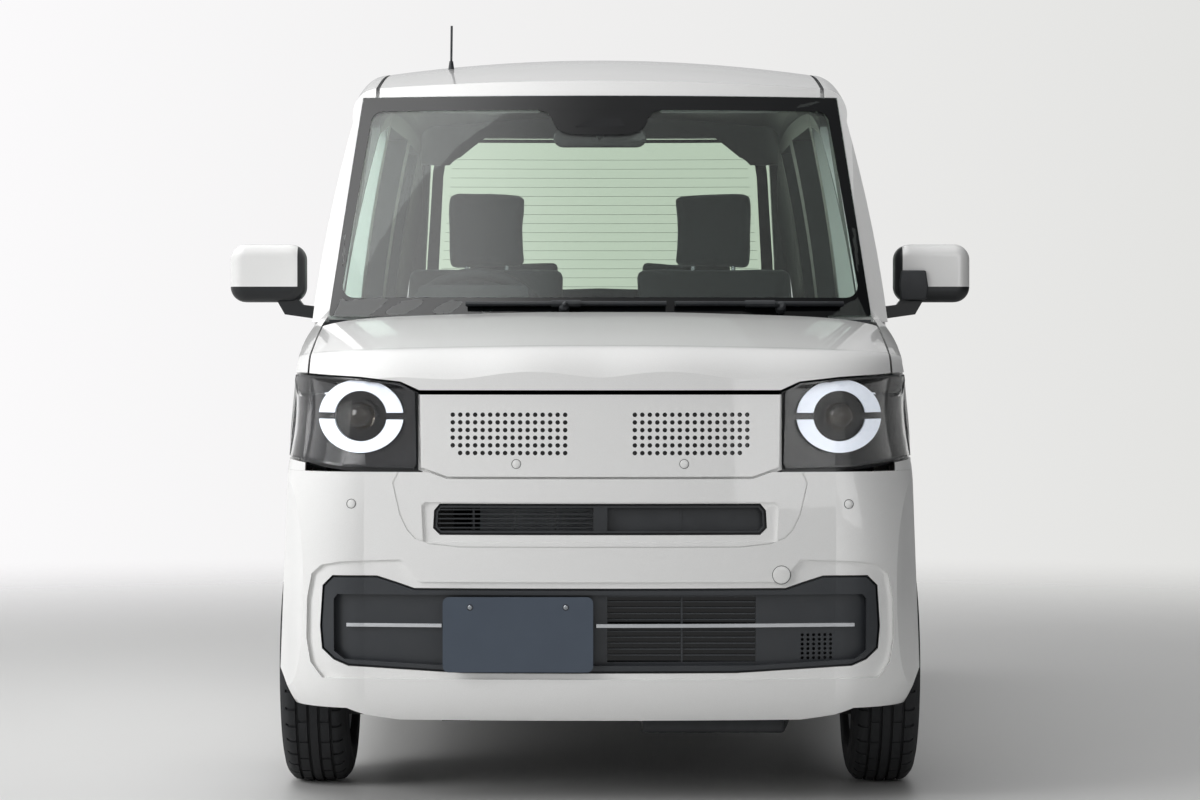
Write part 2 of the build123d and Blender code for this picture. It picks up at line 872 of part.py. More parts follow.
with BuildPart() as tail_lamp_half:
    add(front_prism(tail_lamp_outline, rear_axle_y + 130, 2 * tail_y))
    add(body, mode=Mode.INTERSECT)
    add(pocket_back, mode=Mode.SUBTRACT)
with BuildPart() as tail_lamps:
    add(both_sides(tail_lamp_half.part))
tail_lamps.part.label = "tail_lamps"
export_step(tail_lamps.part, "parts/tail_lamps.step")

with BuildPart() as rear_bumper:
    add(block(-reach, reach, rear_axle_y + 60, 2 * tail_y, 0, rear_bumper_top - seat_gap))
    add(body, mode=Mode.INTERSECT)
    add(pocket_back, mode=Mode.SUBTRACT)
    add(both_sides(rear_arch), mode=Mode.SUBTRACT)
    add(block(-reach, reach, 0, tail_y - 60, 0, sill_height + wall), mode=Mode.SUBTRACT)
rear_bumper.part.label = "rear_bumper"
export_step(rear_bumper.part, "parts/rear_bumper.step")

# ---------------------------------------------------------------- nose panels
flange_front = nose_volume(panel_skin + seat_gap)
flange_back = nose_volume(panel_skin + 7)
bumper_zone_outline = [
    (2 * nose_y, 0),
    (front_axle_y - 100, 0),
    (front_axle_y - 140, 480),
    (front_axle_y - 195, 560),
    (front_axle_y - 270, 700),
    (front_axle_y - 340, bumper_top),
    (2 * nose_y, bumper_top),
]
bonnet_outline = [
    (-bonnet_half_width, 957),
    (-530, 950),
    (-440, 940),
    (-398, bonnet_front_z),
    (398, bonnet_front_z),
    (440, 940),
    (530, 950),
    (bonnet_half_width, 957),
    (bonnet_half_width, 1300),
    (-bonnet_half_width, 1300),
]
nose_front = 2 * nose_y
lamp_rear_y = front_axle_y - 250
bumper_zone_prism = side_prism(bumper_zone_outline, -reach, reach)
headlamp_half = front_prism(headlamp_outline, nose_front, lamp_rear_y)
headlamp_clear_half = front_prism(headlamp_outline, nose_front, lamp_rear_y + shut_gap, grow=shut_gap)

with BuildPart() as nose_shell:
    add(nose)
    add(nose_inner, mode=Mode.SUBTRACT)

bonnet_hinge_x = 585
bonnet_hinge_y = bonnet_rear_y - 8
bonnet_hinge_z = cowl_height - 53
with BuildPart() as bonnet:
    add(nose_shell.part)
    add(front_prism(bonnet_outline, nose_front, bonnet_rear_y - 20), mode=Mode.INTERSECT)
    for x in (-bonnet_hinge_x, bonnet_hinge_x):
        add(block(x - 9, x + 9, bonnet_hinge_y - 12, bonnet_hinge_y, bonnet_hinge_z, cowl_height - 30))
        add(axle_cylinder(bonnet_hinge_y, bonnet_hinge_z, 8, x - 9, x + 9))
        bore = axle_cylinder(bonnet_hinge_y, bonnet_hinge_z, 4.5 + seat_gap, x - 9, x + 9)
        add(bore, mode=Mode.SUBTRACT)
bonnet.part.label = "bonnet"
export_step(bonnet.part, "parts/bonnet.step")

with BuildPart() as wing_half:
    add(nose_shell.part)
    wing_inner_x = bonnet_half_width + shut_gap
    add(block(wing_inner_x, reach, nose_front, door_front_y - door_gap, 0, height), mode=Mode.INTERSECT)
    add(side_prism(bumper_zone_outline, grow=seat_gap), mode=Mode.SUBTRACT)
    add(headlamp_clear_half, mode=Mode.SUBTRACT)
    add(front_arch, mode=Mode.SUBTRACT)
    top_joint_z = cowl_height - 20 - seat_gap
    add(block(0, reach, firewall_y + 50 - seat_gap, 0, top_joint_z, height), mode=Mode.SUBTRACT)
with BuildPart() as front_wings:
    add(both_sides(wing_half.part))
front_wings.part.label = "front_wings"
export_step(front_wings.part, "parts/front_wings.step")

bumper_recess = 7
joint_half = 1.2
joint_depth = 3.5
with BuildPart() as bumper_cuts:
    add(front_prism(bumper_recess_outline, nose_front, front_axle_y - 60))
    add(front_prism(intake_frame_outline, nose_front, front_axle_y))
    add(nose_volume(bumper_recess), mode=Mode.SUBTRACT)
with BuildPart() as centre_joint:
    add(front_prism(centre_joint_outline, nose_front, front_axle_y, grow=joint_half))
    add(front_prism(centre_joint_outline, nose_front, front_axle_y, grow=-joint_half), mode=Mode.SUBTRACT)
    add(nose_volume(joint_depth), mode=Mode.SUBTRACT)

with BuildPart() as front_bumper:
    add(nose_shell.part)
    add(bumper_zone_prism, mode=Mode.INTERSECT)
    add(bumper_cuts.part, mode=Mode.SUBTRACT)
    add(centre_joint.part, mode=Mode.SUBTRACT)
    add(both_sides(headlamp_clear_half), mode=Mode.SUBTRACT)
    add(both_sides(front_arch), mode=Mode.SUBTRACT)
    for outline in (grille_outline, intake_outline, lower_grille_outline):
        add(front_prism(outline, nose_front, front_axle_y, grow=shut_gap), mode=Mode.SUBTRACT)
    add(block(-reach, reach, nose_y + 90, 0, 0, sill_height + panel_skin + 4), mode=Mode.SUBTRACT)
front_bumper.part.label = "front_bumper"
export_step(front_bumper.part, "parts/front_bumper.step")


flange_width = 9


def nose_layer(outline, near, far, grow=0):
    """The part of the nose within a front-view outline, between two depths below its surface."""
    with BuildPart() as layer:
        add(front_prism(outline, nose_front, front_axle_y, grow=grow))
        add(nose_volume(near), mode=Mode.INTERSECT)
        add(nose_volume(far), mode=Mode.SUBTRACT)
    return layer.part


def insert_flange(outline, rim):
    """A frame behind the bumper's skin, around an insert with this outline."""
    with BuildPart() as flange:
        add(front_prism(outline, nose_front, front_axle_y, grow=flange_width))
        add(flange_front, mode=Mode.INTERSECT)
        add(flange_back, mode=Mode.SUBTRACT)
        add(front_prism(outline, nose_front, front_axle_y, grow=-rim), mode=Mode.SUBTRACT)
    return flange.part


# ---------------------------------------------------------------- perforated grille panel
# Rows of round holes on each side of a plain centre field. The lowest row starts one hole further in.
hole_radius = 5
hole_columns = 16
hole_rows = 6
hole_pitch = 16.5
hole_row_pitch = 16.8
hole_first_x = 76.5
hole_bottom_z = 783
grille_rim = 6
grille_base_z = 691
grille_base_y = nose_y + 11
grille_half_span = 420
grille_sag = 22.7
grille_lean = 4.8
grille_plane = Plane(
    origin=(0, grille_base_y, grille_base_z),
    x_dir=(1, 0, 0),
    z_dir=(0, sin(radians(grille_lean)), cos(radians(grille_lean))),
)


def grille_shell(near, far):
    """A leaning curved sheet that follows the nose behind the grille panel's outline."""
    with BuildPart() as sheet:
        with BuildSketch(grille_plane):
            with BuildLine():
                left = (-grille_half_span, near + grille_sag)
                right = (grille_half_span, near + grille_sag)
                face = ThreePointArc(left, (0, near), right)
                back_left = (-grille_half_span, far + grille_sag)
                back_right = (grille_half_span, far + grille_sag)
                rear = ThreePointArc(back_right, (0, far), back_left)
                Line(face @ 1, rear @ 0)
                Line(rear @ 1, face @ 0)
            make_face()
        extrude(amount=bonnet_front_z - grille_base_z + wall)
    return sheet.part


with BuildPart() as grille_face_panel:
    add(grille_shell(grille_recess, grille_recess + grille_thickness))
    add(front_prism(grille_outline, nose_front, front_axle_y), mode=Mode.INTERSECT)
    with BuildSketch(Plane.XZ.offset(-nose_y)):
        for row in range(hole_rows):
            shown = hole_columns - 1 if row == 0 else hole_columns
            for column in range(shown):
                x = hole_first_x + column * hole_pitch
                z = hole_bottom_z + row * hole_row_pitch
                with Locations((-x, z), (x, z)):
                    Circle(hole_radius)
    extrude(amount=-lamp_depth, mode=Mode.SUBTRACT)

with BuildPart() as grille_panel:
    add(nose_layer(grille_outline, grille_recess + 2, panel_skin + 7))
    add(front_prism(grille_outline, nose_front, front_axle_y, grow=-grille_rim), mode=Mode.SUBTRACT)
    add(insert_flange(grille_outline, grille_rim))
    add(block(-400.5, 400.5, nose_front, 0, 0, bonnet_front_z - 10), mode=Mode.INTERSECT)
    add(grille_face_panel.part)
grille_panel.part.label = "grille_panel"
export_step(grille_panel.part, "parts/grille_panel.step")

backing_near = grille_recess + grille_thickness + seat_gap
with BuildPart() as grille_backing:
    add(grille_shell(backing_near, backing_near + 4))
    add(front_prism(grille_outline, nose_front, front_axle_y, grow=-grille_rim - 2), mode=Mode.INTERSECT)
grille_backing.part.label = "grille_backing"
export_step(grille_backing.part, "parts/grille_backing.step")

# ---------------------------------------------------------------- upper intake
insert_face = bumper_recess + 3
insert_back = 38
intake_floor = 28
slat_front_y = nose_y + 36
slat_depth = 10
slat_thickness = 3
intake_slat_zs = (617, 627, 637, 647, 657)
intake_post_xs = (-280, -190, -100)
with BuildPart() as intake_slats:
    for z in intake_slat_zs:
        add(block(-356, -10, slat_front_y, slat_front_y + slat_depth, z, z + slat_thickness))
    for x in intake_post_xs:
        add(block(x, x + 4, slat_front_y + 3, slat_front_y + slat_depth, 611, 664))
with BuildPart() as intake_pocket:
    add(front_prism(intake_outline, nose_front, front_axle_y, grow=-4))
    add(nose_volume(intake_floor), mode=Mode.SUBTRACT)
with BuildPart() as upper_intake:
    add(nose_layer(intake_outline, insert_face, insert_back))
    add(insert_flange(intake_outline, 3))
    add(intake_pocket.part, mode=Mode.SUBTRACT)
    add(block(-352, -16, nose_front, front_axle_y, 613, 662), mode=Mode.SUBTRACT)
    add(intake_slats.part)
    add(block(-14, 16, nose_y + 20, slat_front_y + slat_depth, 609, 666))
    add(block(176, 180, nose_y + 38, nose_y + 44, 609, 666))
upper_intake.part.label = "upper_intake"
export_step(upper_intake.part, "parts/upper_intake.step")

# ---------------------------------------------------------------- lower grille
recess_floor = 26
vent_left = 16
vent_right = 343
vent_bottom = 322
vent_top = 466
vent_slats = 10
vent_pitch = (vent_top - vent_bottom) / (vent_slats + 1)
vent_divider_x = 178
vent_bar_y = nose_y + 52
dot_radius = 3.5
dot_pitch_x = 12.6
dot_pitch_z = 10.2
with BuildPart() as vent_bars:
    for number in range(1, vent_slats + 1):
        z = vent_bottom + number * vent_pitch
        add(block(vent_left - 4, vent_right + 2, vent_bar_y, vent_bar_y + 8, z, z + slat_thickness))
    divider = (vent_divider_x, vent_divider_x + 4)
    add(block(*divider, vent_bar_y - 4, vent_bar_y + 8, vent_bottom - 2, vent_top + 2))
    add(block(vent_left - 8, vent_left - 1, nose_y + 38, vent_bar_y + 8, vent_bottom, vent_top))
with BuildPart() as recess_cut:
    add(front_prism(grille_recess_outline, nose_front, front_axle_y))
    add(nose_volume(recess_floor), mode=Mode.SUBTRACT)
with BuildPart() as dot_holes:
    with BuildSketch(Plane.XZ.offset(-nose_front)):
        with Locations((478, 355)):
            with GridLocations(dot_pitch_x, dot_pitch_z, 6, 6):
                Circle(dot_radius)
    extrude(amount=-(front_axle_y - nose_front))
with BuildPart() as lower_grille:
    add(nose_layer(lower_grille_outline, insert_face, insert_back))
    add(insert_flange(lower_grille_outline, 3))
    add(recess_cut.part, mode=Mode.SUBTRACT)
    add(block(vent_left, vent_right, nose_front, front_axle_y, vent_bottom, vent_top), mode=Mode.SUBTRACT)
    add(dot_holes.part, mode=Mode.SUBTRACT)
    add(vent_bars.part)
lower_grille.part.label = "lower_grille"
export_step(lower_grille.part, "parts/lower_grille.step")

strip_z = 399
strip_height = 8
strip_near = 15
with BuildPart() as grille_trim:
    for x0, x1 in ((-560, -349), (-8, 562)):
        add(block(x0, x1, nose_front, front_axle_y, strip_z, strip_z + strip_height))
    add(nose_volume(strip_near), mode=Mode.INTERSECT)
    add(nose_volume(recess_floor - seat_gap), mode=Mode.SUBTRACT)
grille_trim.part.label = "grille_trim"
export_step(grille_trim.part, "parts/grille_trim.step")

plate_x = -180
plate_z = 385
plate_bracket_half = 110
with BuildPart() as front_plate:
    with BuildSketch(Plane.XZ.offset(-nose_y - 12)):
        with Locations((plate_x, plate_z)):
            RectangleRounded(plate_width, plate_height, plate_turn)
    extrude(amount=8)
    bracket_ends = (plate_x - plate_bracket_half, plate_x + plate_bracket_half)
    add(block(*bracket_ends, nose_y + 10, front_axle_y, plate_z - 30, plate_z + 40))
    add(nose_volume(recess_floor - seat_gap), mode=Mode.SUBTRACT)
    add(lower_grille.part, mode=Mode.SUBTRACT)
front_plate.part.label = "front_plate"
export_step(front_plate.part, "parts/front_plate.step")

# ---------------------------------------------------------------- headlamps
lamp_x = 530
lamp_z = 863
bowl_radius = 57
bowl_floor_y = nose_y + 142
barrel_radius = 36
barrel_front_y = nose_y + 107
projector_radius = 31
projector_seat = 15
projector_crown = 20
projector_flat = 3
ring_outer = (96, 81)
ring_inner = (59, 56)
ring_notch = 15
ring_near = 17
with BuildPart() as lens_half:
    add(headlamp_half)
    add(nose, mode=Mode.INTERSECT)
    add(lens_inner, mode=Mode.SUBTRACT)
with BuildPart() as headlamp_lenses:
    add(both_sides(lens_half.part))
headlamp_lenses.part.label = "headlamp_lenses"
export_step(headlamp_lenses.part, "parts/headlamp_lenses.step")

with BuildPart() as lamp_hollow:
    add(front_prism(headlamp_outline, nose_front, lamp_rear_y - 20, grow=-5))
    add(lamp_face, mode=Mode.SUBTRACT)
with BuildPart() as lamp_flange:
    add(front_prism(headlamp_outline, nose_front, lamp_rear_y + 5, grow=9))
    add(nose_fit, mode=Mode.INTERSECT)
    below_bonnet = [(401, 0), (1000, 0), (1000, 951), (655, 951), (530, 944), (440, 934), (401, 915)]
    add(front_prism(below_bonnet, nose_front, 0), mode=Mode.INTERSECT)
with BuildPart() as housing_half:
    add(front_prism(headlamp_outline, nose_front, lamp_rear_y, grow=-0.5))
    add(lens_inner, mode=Mode.INTERSECT)
    add(lamp_flange.part)
    add(lamp_back, mode=Mode.SUBTRACT)
    add(lamp_hollow.part, mode=Mode.SUBTRACT)
    with BuildSketch(Plane.XZ.offset(-bowl_floor_y)):
        with Locations((lamp_x, lamp_z)):
            Circle(bowl_radius)
    extrude(amount=lamp_depth, mode=Mode.SUBTRACT)
    with BuildSketch(Plane.XZ.offset(-bowl_floor_y - 3)):
        with Locations((lamp_x, lamp_z)):
            Circle(barrel_radius)
    extrude(amount=bowl_floor_y + 3 - barrel_front_y)
    with BuildSketch(Plane.XZ.offset(-barrel_front_y)):
        with Locations((lamp_x, lamp_z)):
            Circle(projector_radius + seat_gap)
    extrude(amount=-projector_seat, mode=Mode.SUBTRACT)
with BuildPart() as headlamp_housings:
    add(both_sides(housing_half.part))
headlamp_housings.part.label = "headlamp_housings"
export_step(headlamp_housings.part, "parts/headlamp_housings.step")

with BuildPart() as ring_half:
    with BuildSketch(Plane.XZ.offset(-nose_front)):
        with Locations((lamp_x, lamp_z)):
            Ellipse(*ring_outer)
            Ellipse(*ring_inner, mode=Mode.SUBTRACT)
            Rectangle(3 * ring_outer[0], ring_notch, mode=Mode.SUBTRACT)
    extrude(amount=-(lamp_rear_y - nose_front))
    add(nose_volume(ring_near), mode=Mode.INTERSECT)
    add(nose_volume(lamp_recess - seat_gap), mode=Mode.SUBTRACT)
    add(front_prism(headlamp_outline, nose_front, lamp_rear_y, grow=-5 - seat_gap), mode=Mode.INTERSECT)
with BuildPart() as lamp_rings:
    add(both_sides(ring_half.part))
lamp_rings.part.label = "lamp_rings"
export_step(lamp_rings.part, "parts/lamp_rings.step")

with BuildPart() as projector_half:
    with BuildSketch(Plane.YZ.offset(lamp_x)):
        with BuildLine():
            back_y = barrel_front_y + projector_seat - seat_gap
            tip_y = barrel_front_y - projector_crown
            tip_point = (tip_y, lamp_z + projector_flat)
            rim_point = (barrel_front_y, lamp_z + projector_radius)
            rim_back = (back_y, lamp_z + projector_radius)
            Polyline(tip_point, (tip_y, lamp_z), (back_y, lamp_z), rim_back, rim_point)
            shoulder_y = barrel_front_y - 0.76 * projector_crown
            ThreePointArc(rim_point, (shoulder_y, lamp_z + 0.55 * projector_radius), tip_point)
        make_face()
    revolve(axis=Axis((lamp_x, 0, lamp_z), (0, 1, 0)))
with BuildPart() as lamp_projectors:
    add(both_sides(projector_half.part))
lamp_projectors.part.label = "lamp_projectors"
export_step(lamp_projectors.part, "parts/lamp_projectors.step")

# ---------------------------------------------------------------- cowl
with BuildPart() as cowl_panel:
    add(body)
    add(body_inner, mode=Mode.SUBTRACT)
    add(block(-roof_edge_x, roof_edge_x, nose_y, 0, 1000, 1200), mode=Mode.INTERSECT)
    add(front_prism(screen_outline, nose_y, 0, grow=-28), mode=Mode.SUBTRACT)
    add(screen_seat.part, mode=Mode.SUBTRACT)
    cowl_front_y = bonnet_rear_y + 27
with BuildPart() as cowl_wedge:
    add(block(-640, 640, cowl_front_y, door_front_y - 70, 1012, 1078))
    add(block(-640, 640, bonnet_rear_y - 55, cowl_front_y, 1012, 1022))
    add(body, mode=Mode.SUBTRACT)
    for x in (-585, 585):
        for plate_left in (x - 18, x + 12):
            add(block(plate_left, plate_left + 6, bonnet_hinge_y - 6, cowl_front_y, 1018, bonnet_hinge_z + 6))
        add(axle_cylinder(bonnet_hinge_y, bonnet_hinge_z, 4.5, x - 18, x + 18))
with BuildPart() as cowl:
    add(cowl_panel.part)
    add(cowl_wedge.part)
cowl.part.label = "cowl_panel"
export_step(cowl.part, "parts/cowl_panel.step")

with BuildPart() as door_hinges:
    add(both_sides(door_hinge_half.part))
door_hinges.part.label = "door_hinges"
export_step(door_hinges.part, "parts/door_hinges.step")

# ---------------------------------------------------------------- floor
floor_low = 280
floor_high = floor_low + floor_thickness
rear_step_y = 760
rear_wall_y = tail_y - 75
floor_profile = [
    (firewall_y, floor_low),
    (rear_step_y, floor_low),
    (rear_step_y + 40, load_floor_height - floor_thickness),
    (rear_wall_y - 28, load_floor_height - floor_thickness),
    (rear_wall_y - 28, rear_bumper_top - 300),
    (rear_wall_y, rear_bumper_top - 300),
    (rear_wall_y, load_floor_height),
    (rear_step_y + 10, load_floor_height),
    (rear_step_y - 30, floor_high),
    (firewall_y + 170, floor_high),
    (firewall_y + 28, 500),
    (firewall_y + 28, 1030),
    (firewall_y, 1030),
]
with BuildPart() as floor_pan:
    add(side_prism(floor_profile, -reach, reach))
    add(body_fit, mode=Mode.INTERSECT)
    tub = axle_cylinder(rear_axle_y, axle_z, rear_arch_radius + 8, 552, reach)
    add(both_sides(tub), mode=Mode.SUBTRACT)
    tub = axle_cylinder(front_axle_y, axle_z, front_arch_radius + 8, 404, reach)
    add(both_sides(tub), mode=Mode.SUBTRACT)
floor_pan.part.label = "floor_pan"
export_step(floor_pan.part, "parts/floor_pan.step")

# ---------------------------------------------------------------- wheel arch liners
tower_x = 540
tower_radius = 90
with BuildPart() as front_liner:
    add(axle_cylinder(front_axle_y, axle_z, front_arch_radius + liner, 412, reach))
    add(axle_cylinder(front_axle_y, axle_z, front_arch_radius, 412 + liner, reach), mode=Mode.SUBTRACT)
    add(block(0, reach, nose_y, 0, axle_z + 60, height), mode=Mode.INTERSECT)
    add(nose_fit, mode=Mode.INTERSECT)
    with BuildSketch(Plane.XY.offset(axle_z)):
        with Locations((tower_x, front_axle_y)):
            Circle(tower_radius + seat_gap)
    extrude(amount=height, mode=Mode.SUBTRACT)
with BuildPart() as rear_liner:
    add(axle_cylinder(rear_axle_y, axle_z, rear_arch_radius + liner, 556, reach))
    add(axle_cylinder(rear_axle_y, axle_z, rear_arch_radius, 556 + liner, reach), mode=Mode.SUBTRACT)
    add(block(0, reach, nose_y, tail_y, axle_z + 60, height), mode=Mode.INTERSECT)
    add(body_fit, mode=Mode.INTERSECT)
with BuildPart() as wheel_liners:
    add(both_sides(front_liner.part))
    add(both_sides(rear_liner.part))
wheel_liners.part.label = "wheel_liners"
export_step(wheel_liners.part, "parts/wheel_liners.step")

# ---------------------------------------------------------------- front frame and subframe
rail_x = 345
rail_half = 38
cross_y = nose_y + 82
cross_depth = 30
with BuildPart() as frame_half:
    add(block(rail_x - rail_half, rail_x + rail_half, cross_y + cross_depth, firewall_y, 400, 500))
    add(block(rail_x - rail_half, rail_x + rail_half, front_axle_y - 60, front_axle_y + 60, 500, 770))
    add(block(rail_x, tower_x - tower_radius + 8, front_axle_y - 60, front_axle_y + 60, 606, 770))
    with BuildSketch(Plane.XY.offset(606)):
        with Locations((tower_x, front_axle_y)):
            Circle(tower_radius)
    extrude(amount=164)
    with BuildSketch(Plane.XY.offset(606)):
        with Locations((tower_x, front_axle_y)):
            Circle(tower_radius - 6)
    extrude(amount=154, mode=Mode.SUBTRACT)
# The steering axis leans inwards from the lower ball joint to the top mount.
ball_x = 620
ball_z = 170
top_mount_x = 530
top_mount_z = 760
steer_axis = Vector(top_mount_x - ball_x, 0, top_mount_z - ball_z).normalized()


def on_steer_axis(z):
    """The point of the left steering axis at height z."""
    share = (z - ball_z) / (top_mount_z - ball_z)
    return (ball_x + (top_mount_x - ball_x) * share, front_axle_y, z)


def strut_cylinder(radius, z, depth):
    """A cylinder on the left steering axis, from height z upwards along it."""
    plane = Plane(origin=on_steer_axis(z), x_dir=(0, 1, 0), z_dir=steer_axis)
    with BuildPart() as cylinder:
        with BuildSketch(plane):
            Circle(radius)
        extrude(amount=depth)
    return cylinder.part


with BuildPart() as front_frame:
    add(both_sides(frame_half.part))
    add(block(-480, 480, cross_y, cross_y + cross_depth, 390, 510))
    for x in (-rail_x, rail_x):
        add(block(x - 20, x + 20, cross_y + cross_depth, cross_y + cross_depth + 25, 500, 880))
    add(block(-rail_x - 20, rail_x + 20, cross_y + cross_depth, cross_y + cross_depth + 40, 860, 890))
    add(both_sides(strut_cylinder(10, 620, 145)))
front_frame.part.label = "front_frame"
export_step(front_frame.part, "parts/front_frame.step")

with BuildPart() as arm_half:
    with BuildSketch(Plane.XY.offset(ball_z - 14)):
        with BuildLine():
            Polyline(
                (360, front_axle_y - 110),
                (500, front_axle_y - 45),
                (ball_x, front_axle_y - 20),
                (ball_x, front_axle_y + 20),
                (500, front_axle_y + 50),
                (360, front_axle_y + 150),
                close=True,
            )
        make_face()
        with Locations((ball_x, front_axle_y)):
            Circle(20)
    extrude(amount=24)
with BuildPart() as front_subframe:
    add(both_sides(arm_half.part))
    for x in (-330, 330):
        add(block(x - 32, x + 32, front_axle_y - 200, firewall_y + 60, 158, 230))
    for y in (front_axle_y - 170, front_axle_y + 120):
        add(block(-330, 330, y, y + 60, 165, 215))
    for x in (-330, 330):
        for y in (front_axle_y - 190, front_axle_y + 116):
            add(block(x - 22, x + 22, y, y + 44, 230, 400 - seat_gap))
front_subframe.part.label = "front_subframe"
export_step(front_subframe.part, "parts/front_subframe.step")

with BuildPart() as engine_block:
    add(block(-270, 230, front_axle_y - 330, front_axle_y + 110, 215 + seat_gap, 800))
engine_block.part.label = "engine_block"
export_step(engine_block.part, "parts/engine_block.step")

# ---------------------------------------------------------------- front knuckles
hub_radius = 52
stub_radius = 22
knuckle_profile = [
    (ball_x - 20, ball_z + 18),
    (ball_x + 14, ball_z + 18),
    (ball_x + 14, ball_z + 30),
    (606, 215),
    (606, 345),
    (572, 430),
    (566, 600),
    (520, 600),
    (530, 430),
    (560, 380),
    (584, 330),
    (584, 215),
]
with BuildPart() as knuckle_half:
    with BuildSketch(Plane.XZ.offset(-front_axle_y - 22)):
        with BuildLine():
            Polyline(*knuckle_profile, close=True)
        make_face()
    extrude(amount=44)
    add(axle_cylinder(front_axle_y, axle_z, hub_radius, 584, 612))
    add(axle_cylinder(front_axle_y, axle_z, stub_radius, 606, 700))
    add(strut_cylinder(27, 590, 80))
    add(strut_cylinder(62, 640, 8))
    add(strut_cylinder(46, 648, 95))
    add(strut_cylinder(11, 560, 230), mode=Mode.SUBTRACT)
for side in ("left", "right"):
    with BuildPart() as knuckle:
        if side == "left":
            add(knuckle_half.part)
        else:
            mirror(knuckle_half.part, about=Plane.YZ)
    knuckle.part.label = f"knuckle_{side}"
    export_step(knuckle.part, f"parts/knuckle_{side}.step")

# ---------------------------------------------------------------- rear axle
with BuildPart() as rear_axle:
    add(axle_cylinder(rear_axle_y - 60, 300, 38, -500, 500))
    for side in (-1, 1):
        x0, x1 = sorted((side * 470, side * 520))
        add(block(x0, x1, rear_axle_y - 420, rear_axle_y + 60, 262, 312))
        x0, x1 = sorted((side * 500, side * 612))
        add(axle_cylinder(rear_axle_y, axle_z, hub_radius, x0, x1))
        x0, x1 = sorted((side * 606, side * 700))
        add(axle_cylinder(rear_axle_y, axle_z, stub_radius, x0, x1))
        with BuildSketch(Plane.XY.offset(312)):
            with Locations((side * 495, rear_axle_y - 40)):
                Circle(44)
        extrude(amount=load_floor_height - floor_thickness - seat_gap - 312)
rear_axle.part.label = "rear_axle"
export_step(rear_axle.part, "parts/rear_axle.step")

# ---------------------------------------------------------------- wheels
rim_radius = rim_diameter / 2
wheel_half = tyre_width / 2
tyre_fit = 0.3
hub_bore = stub_radius + seat_gap
tyre_profile = [
    (-wheel_half + 22, rim_radius + 2),
    (-wheel_half + 4, rim_radius + 16),
    (-wheel_half, rim_radius + 44),
    (-wheel_half + 6, tyre_radius - 22),
    (-wheel_half + 24, tyre_radius - 3),
    (0, tyre_radius),
    (wheel_half - 24, tyre_radius - 3),
    (wheel_half - 6, tyre_radius - 22),
    (wheel_half, rim_radius + 44),
    (wheel_half - 4, rim_radius + 16),
    (wheel_half - 22, rim_radius + 2),
]
rim_profile = [
    (-62, rim_radius + 2 - tyre_fit),
    (62, rim_radius + 2 - tyre_fit),
    (62, rim_radius - 10),
    (30, rim_radius - 24),
    (-52, rim_radius - 24),
    (-62, rim_radius - 8),
]
cover_profile = [
    (10, hub_bore),
    (26, hub_bore),
    (44, 40),
    (56, 90),
    (54, rim_radius - 4),
    (44, rim_radius - 4),
    (34, 120),
    (10, 70),
]


cover_windows = 9
window_ring = 133
window_length = 62
window_width = 38
window_turn = 13


def wheel_revolve(profile, x, y, side):
    """A solid of revolution about a wheel's axle, from (outboard x, radius) points."""
    with BuildPart() as solid:
        with BuildSketch(Plane.XZ.offset(-y)):
            with BuildLine():
                Polyline(*[(side * (x + out), axle_z + r) for out, r in profile], close=True)
            make_face()
        revolve(axis=Axis((0, y, axle_z), (1, 0, 0)))
    return solid.part


Corner = namedtuple("Corner", "name y side")
corners = [
    Corner("front_left", front_axle_y, 1),
    Corner("front_right", front_axle_y, -1),
    Corner("rear_left", rear_axle_y, 1),
    Corner("rear_right", rear_axle_y, -1),
]
for corner in corners:
    with BuildPart() as tyre:
        add(wheel_revolve(tyre_profile, wheel_x, corner.y, corner.side))
    tyre.part.label = f"tyre_{corner.name}"
    export_step(tyre.part, f"parts/tyre_{corner.name}.step")
    with BuildPart() as rim:
        add(wheel_revolve(rim_profile, wheel_x, corner.y, corner.side))
        add(wheel_revolve(cover_profile, wheel_x, corner.y, corner.side))
        cover_plane = Plane(origin=(corner.side * wheel_x, corner.y, axle_z), z_dir=(corner.side, 0, 0))
        with BuildSketch(cover_plane.offset(6)):
            with PolarLocations(window_ring, cover_windows):
                RectangleRounded(window_length, window_width, window_turn)
        extrude(amount=wheel_half, mode=Mode.SUBTRACT)
    rim.part.label = f"rim_{corner.name}"
    export_step(rim.part, f"parts/rim_{corner.name}.step")

# ---------------------------------------------------------------- dashboard and steering wheel
dash_top = 1120
dash_front_y = firewall_y + 28 + seat_gap
dash_profile = [
    (dash_front_y, 700),
    (firewall_y + 150, 690),
    (firewall_y + 330, 760),
    (firewall_y + 345, 960),
    (firewall_y + 300, dash_top - 20),
    (firewall_y + 190, dash_top),
    (firewall_y + 75, dash_top - 28),
    (dash_front_y, 1040),
]
binnacle_profile = [
    (firewall_y + 140, dash_top - 30),
    (firewall_y + 215, dash_top + 44),
    (firewall_y + 290, dash_top + 38),
    (firewall_y + 290, dash_top - 40),
]
driver_x = -310
binnacle_half = 135
wheel_tilt = 28
steering_centre = (driver_x, firewall_y + 470, 1035)
steering_axis = Vector(0, cos(radians(wheel_tilt)), sin(radians(wheel_tilt)))
steering_plane = Plane(origin=steering_centre, x_dir=(1, 0, 0), z_dir=steering_axis)
shaft_radius = 12
shaft_length = 35
with BuildPart() as binnacle:
    add(side_prism(binnacle_profile, driver_x - binnacle_half, driver_x + binnacle_half))
    fillet(binnacle.faces().sort_by(Axis.Z)[-1].edges(), radius=18)
with BuildPart() as dashboard:
    add(side_prism(dash_profile, -610, 610))
    add(binnacle.part)
    add(body_fit, mode=Mode.INTERSECT)
dashboard.part.label = "dashboard"
export_step(dashboard.part, "parts/dashboard.step")

